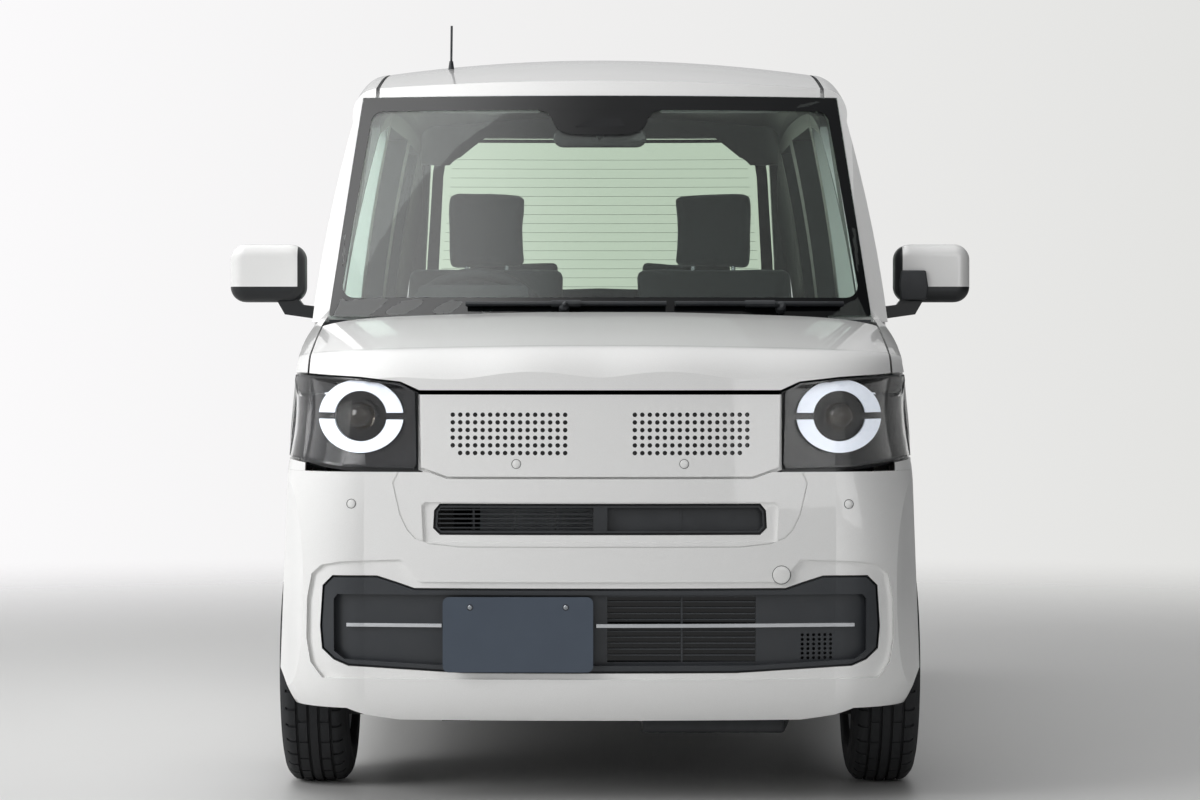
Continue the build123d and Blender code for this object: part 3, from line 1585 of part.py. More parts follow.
with BuildPart() as steering_wheel:
    with BuildSketch(Plane(origin=steering_centre, x_dir=steering_axis, z_dir=(1, 0, 0))):
        with Locations((0, 178)):
            Circle(15)
    revolve(axis=Axis(steering_centre, steering_axis))
    with BuildSketch(steering_plane.offset(-40)):
        Circle(52)
    extrude(amount=50)
    with BuildSketch(steering_plane.offset(-12)):
        Rectangle(340, 34)
        with Locations((0, -85)):
            Rectangle(40, 170)
    extrude(amount=16)
    with BuildSketch(steering_plane.offset(-40)):
        Circle(shaft_radius)
    extrude(amount=-shaft_length)
steering_wheel.part.label = "steering_wheel"
export_step(steering_wheel.part, "parts/steering_wheel.step")

with BuildPart() as steering_column:
    with BuildSketch(steering_plane.offset(-45)):
        Circle(34)
    extrude(amount=-260)
    with BuildSketch(steering_plane.offset(-45)):
        Circle(shaft_radius + seat_gap)
    extrude(amount=-shaft_length - 1, mode=Mode.SUBTRACT)
    add(dashboard.part, mode=Mode.SUBTRACT)
steering_column.part.label = "steering_column"
export_step(steering_column.part, "parts/steering_column.step")

# ---------------------------------------------------------------- seats
seat_height = 640
seat_x = 310
seat_half = 235
back_half = 225
head_half = 113
seat_back_profile = [(150, 560), (250, 560), (370, 1235), (270, 1235)]
head_profile = [(290, 1225), (350, 1225), (368, 1435), (282, 1435)]
rear_back_profile = [(960, 640), (1060, 640), (1160, 1190), (1080, 1190)]
rear_head_profile = [(1082, 1150), (1142, 1150), (1154, 1262), (1094, 1262)]
rear_head_x = 255
rear_head_half = 140


def soft_prism(profile, x0, x1, rounding):
    """A side-view outline extruded from x0 to x1 with rounded edges."""
    with BuildPart() as pad:
        add(side_prism(profile, x0, x1))
        fillet(pad.edges(), radius=rounding)
    return pad.part


with BuildPart() as front_seats:
    for x in (-seat_x, seat_x):
        cushion_profile = [(-230, 470), (240, 470), (240, seat_height - 30), (-230, seat_height)]
        add(soft_prism(cushion_profile, x - seat_half, x + seat_half, 28))
        add(block(x - 190, x + 190, -180, 200, floor_high + seat_gap, 500))
        add(soft_prism(seat_back_profile, x - back_half, x + back_half, 26))
        add(soft_prism(head_profile, x - head_half, x + head_half, 20))
front_seats.part.label = "front_seats"
export_step(front_seats.part, "parts/front_seats.step")

with BuildPart() as rear_seat:
    add(block(-540, 540, 590, 990, load_floor_height + seat_gap, 640))
    rear_cushion_profile = [(560, 600), (1000, 600), (1000, 690), (560, 705)]
    add(soft_prism(rear_cushion_profile, -560, 560, 26))
    add(soft_prism(rear_back_profile, -545, 545, 26))
    for x in (-rear_head_x, rear_head_x):
        add(soft_prism(rear_head_profile, x - rear_head_half, x + rear_head_half, 16))
rear_seat.part.label = "rear_seat"
export_step(rear_seat.part, "parts/rear_seat.step")

with BuildPart() as fuel_tank:
    add(block(-260, 260, 120, 620, 160, floor_low - seat_gap))
fuel_tank.part.label = "fuel_tank"
export_step(fuel_tank.part, "parts/fuel_tank.step")

# ---------------------------------------------------------------- small outside pieces
antenna_x = -386
antenna_y = -205
antenna_base_z = 1722
antenna_rod_z = 1745
antenna_rod_length = 104
with BuildPart() as antenna:
    with BuildSketch(Plane.XY.offset(antenna_base_z)):
        with Locations((antenna_x, antenna_y)):
            Ellipse(9, 16)
    extrude(amount=antenna_rod_z + 6 - antenna_base_z, taper=8)
    rod_origin = (antenna_x, antenna_y, antenna_rod_z)
    with BuildSketch(Plane(origin=rod_origin, x_dir=(1, 0, 0), z_dir=(0, 0.3, 1))):
        Circle(3)
    extrude(amount=antenna_rod_length)
    add(body, mode=Mode.SUBTRACT)
antenna.part.label = "antenna"
export_step(antenna.part, "parts/antenna.step")

# ---------------------------------------------------------------- exhaust
pipe_radius = 20
pipe_z = 236
pipe_front_x = -100
pipe_rear_x = -330
pipe_turn_y = 40
muffler_y = 1450
muffler_length = 110
tail_pipe_length = 35
pipe_front_y = front_axle_y + 110 + seat_gap
hanger_top = load_floor_height - floor_thickness - seat_gap
with BuildPart() as exhaust:
    runs = [
        (pipe_front_x, pipe_front_y, pipe_turn_y - pipe_front_y),
        (pipe_rear_x, pipe_turn_y, muffler_y - pipe_turn_y + 10),
    ]
    for x, y, run in runs:
        with Locations(Location((x, y, pipe_z), (-90, 0, 0))):
            Cylinder(pipe_radius, run, align=(Align.CENTER, Align.CENTER, Align.MIN))
    add(axle_cylinder(pipe_turn_y, pipe_z, pipe_radius, pipe_rear_x, pipe_front_x))
    for x in (pipe_rear_x, pipe_front_x):
        with Locations((x, pipe_turn_y, pipe_z)):
            Sphere(pipe_radius)
    with BuildSketch(Plane.XZ.offset(-muffler_y)):
        with Locations((pipe_rear_x, pipe_z + 10)):
            RectangleRounded(360, 110, 45)
    extrude(amount=-muffler_length)
    with Locations(Location((pipe_rear_x - 110, muffler_y + muffler_length - 10, pipe_z), (-90, 0, 0))):
        Cylinder(pipe_radius - 2, tail_pipe_length + 10, align=(Align.CENTER, Align.CENTER, Align.MIN))
    for x in (pipe_rear_x - 100, pipe_rear_x + 100):
        add(block(x, x + 14, muffler_y + 60, muffler_y + 74, pipe_z + 50, hanger_top))
exhaust.part.label = "exhaust"
export_step(exhaust.part, "parts/exhaust.step")
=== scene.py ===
"""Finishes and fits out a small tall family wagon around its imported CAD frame.

Everything is in metres: the nose faces -Y, the car's left side is +X and the floor is Z = 0.
"""

import logging
import math
from contextlib import contextmanager
from dataclasses import dataclass, field
from enum import Enum
from typing import Iterator, Sequence

import bmesh
import bpy
from mathutils import Matrix, Vector


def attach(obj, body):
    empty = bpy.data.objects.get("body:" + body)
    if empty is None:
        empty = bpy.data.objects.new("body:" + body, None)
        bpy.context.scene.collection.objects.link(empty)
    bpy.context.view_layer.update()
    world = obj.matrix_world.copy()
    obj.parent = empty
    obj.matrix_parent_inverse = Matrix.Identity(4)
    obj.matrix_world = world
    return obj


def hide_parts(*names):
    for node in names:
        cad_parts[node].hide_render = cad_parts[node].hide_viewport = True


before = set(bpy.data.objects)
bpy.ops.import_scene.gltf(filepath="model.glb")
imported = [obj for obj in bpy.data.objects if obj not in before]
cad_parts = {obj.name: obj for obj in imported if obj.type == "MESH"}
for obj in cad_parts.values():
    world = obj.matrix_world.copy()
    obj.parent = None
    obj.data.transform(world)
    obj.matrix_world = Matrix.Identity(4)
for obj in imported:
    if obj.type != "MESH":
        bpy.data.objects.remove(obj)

log = logging.getLogger("wagon")
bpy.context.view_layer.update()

Flat = tuple[float, float]
Point = tuple[float, float, float] | Vector
Tree = bpy.types.NodeTree
Node = bpy.types.Node
Socket = bpy.types.NodeSocket
Object = bpy.types.Object


# ------------------------------------------------------------------ colour and node helpers
def linear(hex_colour: str) -> tuple[float, float, float, float]:
    """Turns an sRGB hex colour into a linear one.

    Args:
        hex_colour: Six hex digits after a hash sign.

    Returns:
        Linear red, green and blue, and an alpha of 1.
    """
    scaled = [int(hex_colour[i : i + 2], 16) / 255 for i in (1, 3, 5)]
    red, green, blue = (c / 12.92 if c <= 0.04045 else ((c + 0.055) / 1.055) ** 2.4 for c in scaled)
    return red, green, blue, 1.0


def per_metre(size_mm: float) -> float:
    """Returns the texture scale at which a pattern repeats every size_mm."""
    return 1000.0 / size_mm


def plug(tree: Tree, node: Node, label: str, value: object) -> None:
    """Sets an input of a node, or links another node's output to it.

    Args:
        tree: The node tree.
        node: The node.
        label: The input's number, or its name with underscores for spaces.
        value: A number, a colour or an output.
    """
    socket = node.inputs[int(label) if label.isdigit() else label.replace("_", " ")]
    if isinstance(value, Socket):
        tree.links.new(value, socket)
    else:
        socket.default_value = value


def add_node(tree: Tree, kind: str, /, **settings: object) -> Node:
    """Adds a node, and sets or links what is named.

    Args:
        tree: The node tree that gets the node.
        kind: The node's type name, without ShaderNode.
        **settings: Properties by name, and inputs as in_ and what plug calls their label.

    Returns:
        The new node.
    """
    node = tree.nodes.new(f"ShaderNode{kind}")
    for key, value in settings.items():
        if key.startswith("in_"):
            plug(tree, node, key[3:], value)
        else:
            setattr(node, key, value)
    return node


def maths(tree: Tree, operation: str, *values: object) -> Socket:
    """Adds a calculation on numbers or outputs, in their order, and returns its result."""
    inputs = {f"in_{number}": value for number, value in enumerate(values)}
    return add_node(tree, "Math", operation=operation, **inputs).outputs[0]


def mixed(tree: Tree, share: Socket, low: object, high: object) -> Socket:
    """Adds a mix of two colours and returns it.

    Args:
        tree: The node tree.
        share: How much of the second colour it takes.
        low: The first colour, as numbers or an output.
        high: The second.
    """
    return add_node(
        tree, "Mix", data_type="RGBA", in_Factor=share, in_6=low, in_7=high
    ).outputs[2]


def ramp(tree: Tree, value: Socket, span: Flat, to: Flat = (0, 1), eased: bool = False) -> Socket:
    """Adds a map of one range of numbers onto another and returns its result.

    Args:
        tree: The node tree.
        value: The number that is mapped.
        span: Where its range starts and ends.
        to: What those ends become.
        eased: Whether the ends are rounded off.
    """
    kind = "SMOOTHSTEP" if eased else "LINEAR"
    ends = dict(in_From_Min=span[0], in_From_Max=span[1], in_To_Min=to[0], in_To_Max=to[1])
    node = add_node(tree, "MapRange", interpolation_type=kind, in_Value=value, **ends)
    return node.outputs["Result"]


def mix_shaders(tree: Tree, share: Socket, low: Socket, high: Socket) -> Socket:
    """Adds a mix of two shaders and returns it; share is how much of the second it takes."""
    return add_node(tree, "MixShader", in_0=share, in_1=low, in_2=high).outputs[0]


# ------------------------------------------------------------------ finishes
@dataclass(frozen=True)
class Canvas:
    """A material's nodes, while a finish adds its pattern to them.

    Attributes:
        tree: The node tree.
        shader: Its main shader.
        place: Object coordinates, in metres.
    """

    tree: Tree
    shader: Node
    place: Socket

    def put(self, **values: object) -> None:
        """Sets or links inputs of the main shader, named with underscores for spaces."""
        for label, value in values.items():
            plug(self.tree, self.shader, label, value)

    def show(self, output: Socket) -> None:
        """Makes output what the material shows."""
        self.tree.links.new(output, self.tree.nodes["Material Output"].inputs["Surface"])

    def noise(
        self, size_mm: float, detail: float, roughness: float = 0.5, place: Socket | None = None
    ) -> Socket:
        """Adds a soft noise and returns it.

        Args:
            size_mm: About how far apart its hills are.
            detail: How many finer noises ride on it.
            roughness: How strong those are.
            place: Other coordinates than the canvas's own.
        """
        where = self.place if place is None else place
        settings = dict(in_Scale=per_metre(size_mm), in_Detail=detail, in_Roughness=roughness)
        return add_node(self.tree, "TexNoise", in_Vector=where, **settings).outputs["Fac"]

    def relief(self, height: Socket, depth_mm: float, strength: float) -> None:
        """Links a height to the shader as bump.

        Args:
            height: The height, from 0 to 1.
            depth_mm: How deep the relief is.
            strength: How much of it shows.
        """
        settings = dict(in_Height=height, in_Distance=depth_mm / 1000, in_Strength=strength)
        self.put(Normal=add_node(self.tree, "Bump", **settings).outputs["Normal"])


def new_canvas(name: str, colour: str, roughness: float) -> tuple[bpy.types.Material, Canvas]:
    """Makes a material with a plain surface.

    Args:
        name: Its name.
        colour: Its sRGB hex colour.
        roughness: Its roughness.

    Returns:
        The material and its nodes.
    """
    material = bpy.data.materials.new(name)
    material.use_nodes = True
    tree = material.node_tree
    place = add_node(tree, "TexCoord").outputs["Object"]
    canvas = Canvas(tree, tree.nodes["Principled BSDF"], place)
    canvas.put(Base_Color=linear(colour), Roughness=roughness)
    return material, canvas


@dataclass(frozen=True)
class Finish:
    """A real surface, from which a material is made.

    Attributes:
        name: The material's name.
        slot: The record's material slot that it stands for; not used.
        colour: Its sRGB hex colour.
        roughness: The roughness of the bare surface.
    """

    name: str
    slot: str
    colour: str
    roughness: float

    def make(self) -> bpy.types.Material:
        """Returns the material, made on its first use and found again later."""
        found = bpy.data.materials.get(self.name)
        if found is not None:
            return found
        material, canvas = new_canvas(self.name, self.colour, self.roughness)
        self.dress(canvas)
        return material

    def dress(self, canvas: Canvas) -> None:
        """Adds the finish's own pattern to the canvas."""

    def vary(
        self,
        canvas: Canvas,
        size_mm: float,
        other: str,
        spread: float,
        detail: float = 3.0,
        roughness: float = 0.5,
    ) -> None:
        """Drifts the colour and roughness over patches, as handling and dust do.

        Args:
            canvas: The material's nodes.
            size_mm: The size of a patch.
            other: The sRGB hex colour at the other end of the drift.
            spread: How far the surface's roughness goes each way.
            detail: How many finer patches ride on it.
            roughness: How strong those are.
        """
        noise = canvas.noise(size_mm, detail, roughness)
        ends = (max(self.roughness - spread, 0.0), self.roughness + spread)
        canvas.put(
            Base_Color=mixed(canvas.tree, noise, linear(self.colour), linear(other)),
            Roughness=ramp(canvas.tree, noise, (0.0, 1.0), ends),
        )


@dataclass(frozen=True)
class Enamel(Finish):
    """Pearl enamel under clear lacquer: soft colour, mirror-like coat and a little orange peel.

    Attributes:
        flake: The pearl flakes' sRGB hex colour.
        flake_mm: How far apart they are drawn.
        peel_mm: How far apart the orange peel's hills are.
        peel_depth_mm: How deep it is.
    """

    flake: str = "#ffffff"
    flake_mm: float = 1.4
    peel_mm: float = 5.0
    peel_depth_mm: float = 0.02

    def dress(self, canvas: Canvas) -> None:
        """Adds pearl flakes, the lacquer coat and its orange peel."""
        # Real flakes are under 0.1 mm: they are drawn coarser, so that their sparkle still shows.
        self.vary(canvas, self.flake_mm, self.flake, 0.03)
        canvas.put(Coat_Weight=1.0, Coat_Roughness=0.03)
        canvas.relief(canvas.noise(self.peel_mm, 1.0), self.peel_depth_mm, 0.12)

    def swap(self, canvas: Canvas, where: Socket, bare: str) -> None:
        """Puts an uncoated colour in the enamel's place.

        Args:
            canvas: The material's nodes.
            where: 1 where the enamel gives way, and 0 elsewhere.
            bare: The other surface's sRGB hex colour.
        """
        paint = canvas.shader.inputs["Base Color"].links[0].from_socket
        canvas.put(
            Base_Color=mixed(canvas.tree, where, paint, linear(bare)),
            Coat_Weight=maths(canvas.tree, "SUBTRACT", 1.0, where),
        )


@dataclass(frozen=True)
class LinedEnamel(Enamel):
    """Enamel outside, and dull trim on the faces that look towards the middle of the cabin.

    Attributes:
        middle: The cabin's middle, in metres.
        trim: The trim's sRGB hex colour.
        least: How far, in metres, a face's plane lies from the middle before it is trimmed.
    """

    middle: Point = (0.0, 0.35, 1.0)
    trim: str = "#34373a"
    least: float = 0.02

    def dress(self, canvas: Canvas) -> None:
        """Adds the enamel, and the trim on inward faces."""
        super().dress(canvas)
        tree = canvas.tree
        normal = add_node(tree, "TexCoord").outputs["Normal"]
        spoke = add_node(
            tree, "VectorMath", operation="SUBTRACT", in_0=canvas.place, in_1=self.middle
        )
        facing = add_node(
            tree, "VectorMath", operation="DOT_PRODUCT", in_0=spoke.outputs[0], in_1=normal
        )
        inward = maths(tree, "LESS_THAN", facing.outputs["Value"], -self.least)
        self.swap(canvas, inward, self.trim)


@dataclass(frozen=True)
class TwoTone(Enamel):
    """Enamel on a door mirror's cap, over bare black plastic on its foot and lower edge.

    Attributes:
        split_z: The height, in metres, that the black reaches up to.
        foot_x: How far out the black foot reaches.
        bare: The plastic's sRGB hex colour.
    """

    split_z: float = 1.160
    foot_x: float = 0.742
    bare: str = "#1c1e20"

    def dress(self, canvas: Canvas) -> None:
        """Adds the enamel, and the bare plastic below it."""
        super().dress(canvas)
        tree = canvas.tree
        axes = add_node(tree, "SeparateXYZ", in_Vector=canvas.place).outputs
        low = maths(tree, "LESS_THAN", axes["Z"], self.split_z)
        inner = maths(tree, "LESS_THAN", maths(tree, "ABSOLUTE", axes["X"]), self.foot_x)
        self.swap(canvas, maths(tree, "MAXIMUM", low, inner), self.bare)


@dataclass(frozen=True)
class Moulded(Finish):
    """Injection-moulded plastic: an even spark-eroded grain that breaks up the highlight.

    Attributes:
        grain_mm: How far apart the grains are.
        grain_depth_mm: How deep the grain is.
        worn: The sRGB hex colour that it drifts to.
    """

    grain_mm: float = 1.2
    grain_depth_mm: float = 0.08
    worn: str = "#3a3c3f"

    def dress(self, canvas: Canvas) -> None:
        """Adds grain and a slow drift of colour."""
        self.vary(canvas, 60.0, self.worn, 0.05)
        scale = per_metre(self.grain_mm)
        grain = add_node(canvas.tree, "TexVoronoi", in_Vector=canvas.place, in_Scale=scale)
        canvas.relief(grain.outputs["Distance"], self.grain_depth_mm, 0.35)


@dataclass(frozen=True)
class Metal(Finish):
    """Bare or plated metal, with drawn or cast texture.

    Attributes:
        texture_mm: The texture's size.
        texture_depth_mm: How deep it is.
        stretch: How much finer it is across Y and Z than along X.
        tarnish: The sRGB hex colour that it drifts to.
    """

    texture_mm: float = 3.0
    texture_depth_mm: float = 0.02
    stretch: float = 1.0
    tarnish: str = "#8c8f93"

    def dress(self, canvas: Canvas) -> None:
        """Adds the drawn or cast texture."""
        canvas.put(Metallic=1.0)
        self.vary(canvas, 40.0, self.tarnish, 0.04)
        scale = (1.0, self.stretch, self.stretch)
        drawn = add_node(canvas.tree, "Mapping", in_Vector=canvas.place, in_Scale=scale)
        texture = canvas.noise(self.texture_mm, 4.0, place=drawn.outputs["Vector"])
        canvas.relief(texture, self.texture_depth_mm, 0.4)


@dataclass(frozen=True)
class Coated(Finish):
    """Steel under powder coat or underseal: dull, slightly pebbled, with patches of dust.

    Attributes:
        pebble_mm: The pebbles' size.
        dust: The dust's sRGB hex colour.
    """

    pebble_mm: float = 4.0
    dust: str = "#4c4b48"

    def dress(self, canvas: Canvas) -> None:
        """Adds road dust and pebbling."""
        self.vary(canvas, 35.0, self.dust, 0.1, roughness=0.6)
        canvas.relief(canvas.noise(self.pebble_mm, 2.0), 0.4, 0.3)


@dataclass(frozen=True)
class Rubber(Finish):
    """Vulcanised rubber: matt, with a grey bloom and fine mould texture.

    Attributes:
        bloom: The bloom's sRGB hex colour.
        mould_mm: The mould texture's size.
    """

    bloom: str = "#2c2d2f"
    mould_mm: float = 1.5

    def dress(self, canvas: Canvas) -> None:
        """Adds bloom and mould texture."""
        self.vary(canvas, 18.0, self.bloom, 0.08)
        canvas.relief(canvas.noise(self.mould_mm, 3.0), 0.1, 0.35)


@dataclass(frozen=True)
class Cloth(Finish):
    """Woven polyester: over-and-under threads with a soft sheen and a few darker yarns.

    Attributes:
        thread_mm: How far apart the threads are drawn.
        yarn: The darker yarns' sRGB hex colour.
    """

    thread_mm: float = 3.0
    yarn: str = "#272b2e"

    def dress(self, canvas: Canvas) -> None:
        """Adds the weave and the yarn's drift of colour."""
        self.vary(canvas, 9.0, self.yarn, 0.04, detail=5.0)
        canvas.put(Sheen_Weight=0.35, Sheen_Roughness=0.5)
        # Upholstery threads are under 1 mm apart: the weave is drawn at 3 mm, the finest to show.
        # A wave texture's bands are 20 to the unit of its scale.
        settings = dict(
            in_Vector=canvas.place,
            in_Scale=per_metre(self.thread_mm) / 20,
            in_Distortion=0.6,
            in_Detail=1.0,
        )
        warp, weft, fill = (
            add_node(canvas.tree, "TexWave", bands_direction=way, **settings).outputs["Fac"]
            for way in ("X", "Z", "Y")
        )
        weave = maths(canvas.tree, "ADD", maths(canvas.tree, "MULTIPLY", warp, weft), fill)
        canvas.relief(weave, 0.25, 0.15)


@dataclass(frozen=True)
class Glazing(Finish):
    """Float glass or clear moulded acrylic: lamps shine through it, and it tints what is behind.

    Attributes:
        ior: The index of refraction.
        shade: The colour that lamps' light takes when it goes through.
        wave_mm: The length of the shallow waves that stir what it mirrors.
    """

    ior: float = 1.5
    shade: str = "#e9f1ee"
    wave_mm: float = 150.0

    def dress(self, canvas: Canvas) -> None:
        """Makes the shader a clear one and lets the lamps' light through."""
        canvas.put(Transmission_Weight=1.0, IOR=self.ior)
        canvas.relief(canvas.noise(self.wave_mm, 1.0), 0.02, 0.05)
        tree = canvas.tree
        through = add_node(tree, "BsdfTransparent", in_Color=linear(self.shade)).outputs["BSDF"]
        shadow = add_node(tree, "LightPath").outputs["Is Shadow Ray"]
        canvas.show(mix_shaders(tree, shadow, canvas.shader.outputs["BSDF"], through))


@dataclass(frozen=True)
class Lit(Finish):
    """A diffuser that light comes out of, frosted so that its lamps blend into one band.

    Attributes:
        strength: How bright it is.
        frost: The frosting's sRGB hex colour.
    """

    strength: float = 1.0
    frost: str = "#e6ecf6"

    def dress(self, canvas: Canvas) -> None:
        """Adds the light and the frosting's faint mottle."""
        self.vary(canvas, 12.0, self.frost, 0.05)
        canvas.put(Emission_Color=linear(self.colour), Emission_Strength=self.strength)


BODY_ENAMEL = Enamel("pearl enamel under lacquer", "body_paint", "#eeeeec", 0.38)
LINED_ENAMEL = LinedEnamel("pearl enamel, trimmed inside", "body_paint", "#eeeeec", 0.38)
BLACK_GRAIN = Moulded("grained black polypropylene", "dark_plastic", "#1f2225", 0.5)
CHARCOAL_SATIN = Moulded("satin charcoal ABS", "dark_plastic", "#2f3338", 0.38, grain_mm=1.0)
GLOSS_BLACK = Moulded(
    "gloss black ABS", "dark_plastic", "#0d0e10", 0.12, grain_depth_mm=0.005, worn="#15171a"
)
LAMP_BLACK = Moulded(
    "smoked lamp bezel", "dark_plastic", "#101214", 0.22, grain_depth_mm=0.01, worn="#1a1c1f"
)
CABIN_GREY = Moulded("grained cabin plastic", "interior_plastic", "#232628", 0.6, worn="#2d3032")
PLATE_SLATE = Moulded(
    "slate-painted pressed plate",
    "plate_metal",
    "#454e5b",
    0.45,
    grain_depth_mm=0.01,
    worn="#4b5562",
)
SEAT_CLOTH = Cloth("woven seat cloth", "seat_fabric", "#2f3437", 0.9)
SCREEN_GLASS = Glazing("laminated screen glass", "clear_glass", "#e6efeb", 0.0, shade="#d5e2dc")
SIDE_GLASS = Glazing("tempered side glass", "clear_glass", "#dfeae4", 0.0, shade="#c7d8cf")
PRIVACY_GLASS = Glazing("privacy glass", "tinted_glass", "#93a09a", 0.0, shade="#7d8a85")
GREEN_GLASS = Glazing("green tailgate glass", "tinted_glass", "#e0edd9", 0.0, shade="#c9dcc0")
LAMP_ACRYLIC = Glazing("bloomed lamp acrylic", "clear_lens", "#ffffff", 0.0, 1.2, "#ffffff")
# The projector lens's warm grey tint is painted shade: it darkens the inside of the lamp that is
# seen through it.
PROJECTOR_SHADED_ACRYLIC = Glazing("projector lens acrylic tinted with painted shade", "clear_lens", "#b9b3aa", 0.0, 1.49, "#ffffff")
RED_ACRYLIC = Glazing("red lamp acrylic", "red_lens", "#c3141c", 0.06, 1.49, "#b0141a")
LED_WHITE = Lit("lit white diffuser", "lamp_diffuser", "#d3dae6", 0.35, strength=0.12)
BRIGHT_CHROME = Metal(
    "bright chrome plate", "trim_chrome", "#d9dbde", 0.07, texture_depth_mm=0.001, tarnish="#cfd2d6"
)
BRIGHT_STEEL = Metal("zinc-plated steel", "steel", "#a9adb1", 0.25, tarnish="#8d9094")
EXHAUST_STEEL = Metal(
    "heat-stained exhaust steel", "exhaust_steel", "#8b8781", 0.38, stretch=6.0, tarnish="#6f665c"
)
FRIT_BLACK = Moulded(
    "fired screen print", "dark_plastic", "#0b0c0d", 0.08, grain_depth_mm=0.005, worn="#111315"
)
HEATER_PRINT = Metal("printed heater line", "dark_plastic", "#a9c3a2", 0.4, tarnish="#95b08f")
HEADLINER = Cloth("needled headliner felt", "seat_fabric", "#b9bab6", 0.95, yarn="#a8aaa6")
MIRROR_SHELL = TwoTone("two-tone mirror shell", "body_paint", "#eeeeec", 0.38)
PAINTED_STEEL = Coated("underseal on steel", "steel", "#26282a", 0.7)
CAST_IRON = Coated("cast iron", "cast_iron", "#4a4846", 0.65, dust="#5c5148")
TANK_STEEL = Coated("coated tank steel", "tank_steel", "#34373a", 0.55)
CAST_ALLOY = Metal("sand-cast aluminium", "engine_alloy", "#9a9d9f", 0.5, texture_depth_mm=0.3)
TYRE_RUBBER = Rubber("tyre rubber", "tyre_rubber", "#1b1c1e", 0.82)
SILVER_COVER = Enamel(
    "silver wheel-cover paint", "wheel_cover", "#b4b7ba", 0.32, flake="#c6c9cc", flake_mm=1.0
)
SEAL_RUBBER = Rubber("extruded seal rubber", "dark_plastic", "#17181a", 0.7)
MIRROR_SILVER = Metal(
    "silvered mirror glass",
    "clear_glass",
    "#e3e6e8",
    0.02,
    texture_depth_mm=0.0005,
    tarnish="#dfe3e5",
)


# ------------------------------------------------------------------ modelling helpers
MIRROR_X = Matrix.Scale(-1, 4, Vector((1, 0, 0)))
MERGE = 0.00005
PRINT_LIFT = 0.0006
PRINT_THICKNESS = 0.0008


class Plane3(Enum):
    """The plane that a flat outline lies in, as the axes of its first and second numbers."""

    FRONT = (0, 2, 1)
    SIDE = (1, 2, 0)
    TOP = (0, 1, 2)

    def lift(self, flat: Flat, level: float) -> Vector:
        """Returns the point of space at flat in this plane, level along the plane's normal."""
        point = [0.0, 0.0, 0.0]
        point[self.value[0]], point[self.value[1]] = flat
        point[self.value[2]] = level
        return Vector(point)


def take(piece: Object) -> None:
    """Makes piece the one selected and active object."""
    bpy.ops.object.select_all(action="DESELECT")
    piece.select_set(True)
    bpy.context.view_layer.objects.active = piece


def added(name: str) -> Object:
    """Names the object that an operator just made, and its mesh, and returns it."""
    piece = bpy.context.object
    piece.name = piece.data.name = name
    return piece


@contextmanager
def editing() -> Iterator[None]:
    """Edits the active mesh with all of it selected, and turns its faces outwards at the end."""
    bpy.ops.object.mode_set(mode="EDIT")
    bpy.ops.mesh.select_all(action="SELECT")
    yield
    bpy.ops.mesh.select_all(action="SELECT")
    bpy.ops.mesh.normals_make_consistent(inside=False)
    bpy.ops.object.mode_set(mode="OBJECT")


def modify(piece: Object, kind: str, **settings: object) -> None:
    """Adds a modifier with these settings to a piece, and applies it."""
    take(piece)
    modifier = piece.modifiers.new(kind.lower(), kind)
    for key, value in settings.items():
        setattr(modifier, key, value)
    bpy.ops.object.modifier_apply(modifier=modifier.name)


def slab(
    name: str,
    outline: Sequence[Flat],
    plane: Plane3,
    start: float,
    end: float,
    edge: float = 0.0,
    segments: int = 2,
) -> Object:
    """Extrudes a flat outline between two levels and rounds its edges.

    Args:
        name: The piece's name.
        outline: The outline's corners, in order.
        plane: The plane that they lie in.
        start: The level that the outline starts at.
        end: The level that it is extruded to.
        edge: The width of the edge rounding, or 0.
        segments: How many faces the rounding has.

    Returns:
        The piece.
    """
    bpy.ops.object.select_all(action="DESELECT")
    bpy.ops.mesh.primitive_circle_add(vertices=len(outline), fill_type="NGON")
    piece = added(name)
    for vertex, flat in zip(piece.data.vertices, outline):
        vertex.co = plane.lift(flat, start)
    with editing():
        step = plane.lift((0.0, 0.0), end - start)
        bpy.ops.mesh.extrude_region_move(TRANSFORM_OT_translate={"value": step})
    if edge:
        sharp = dict(limit_method="ANGLE", angle_limit=math.radians(35.0))
        modify(piece, "BEVEL", width=edge, segments=segments, use_clamp_overlap=True, **sharp)
    return piece


def turned(
    name: str,
    profile: Sequence[Flat],
    centre: Point,
    axis: Point,
    steps: int = 48,
    closed: bool = False,
) -> Object:
    """Spins a profile around an axis.

    Args:
        name: The piece's name.
        profile: Points as distance along the axis and radius.
        centre: The point that distances are taken from.
        axis: The axis's direction.
        steps: How many faces go round.
        closed: Whether the profile's last point joins its first.

    Returns:
        The piece.
    """
    along = Vector(axis).normalized()
    across = along.orthogonal().normalized()
    bpy.ops.object.select_all(action="DESELECT")
    bpy.ops.mesh.primitive_circle_add(vertices=len(profile), fill_type="NOTHING")
    piece = added(name)
    for vertex, (distance, radius) in zip(piece.data.vertices, profile):
        vertex.co = Vector(centre) + along * distance + across * radius
    with editing():
        if not closed:
            mesh = bmesh.from_edit_mesh(piece.data)
            mesh.verts.ensure_lookup_table()
            ends = {mesh.verts[0], mesh.verts[-1]}
            mesh.edges.remove(next(edge for edge in mesh.edges if set(edge.verts) == ends))
            bmesh.update_edit_mesh(piece.data)
        bpy.ops.mesh.select_all(action="SELECT")
        bpy.ops.mesh.spin(steps=steps, angle=math.tau, center=centre, axis=along)
        bpy.ops.mesh.select_all(action="SELECT")
        bpy.ops.mesh.remove_doubles(threshold=MERGE)
    return piece


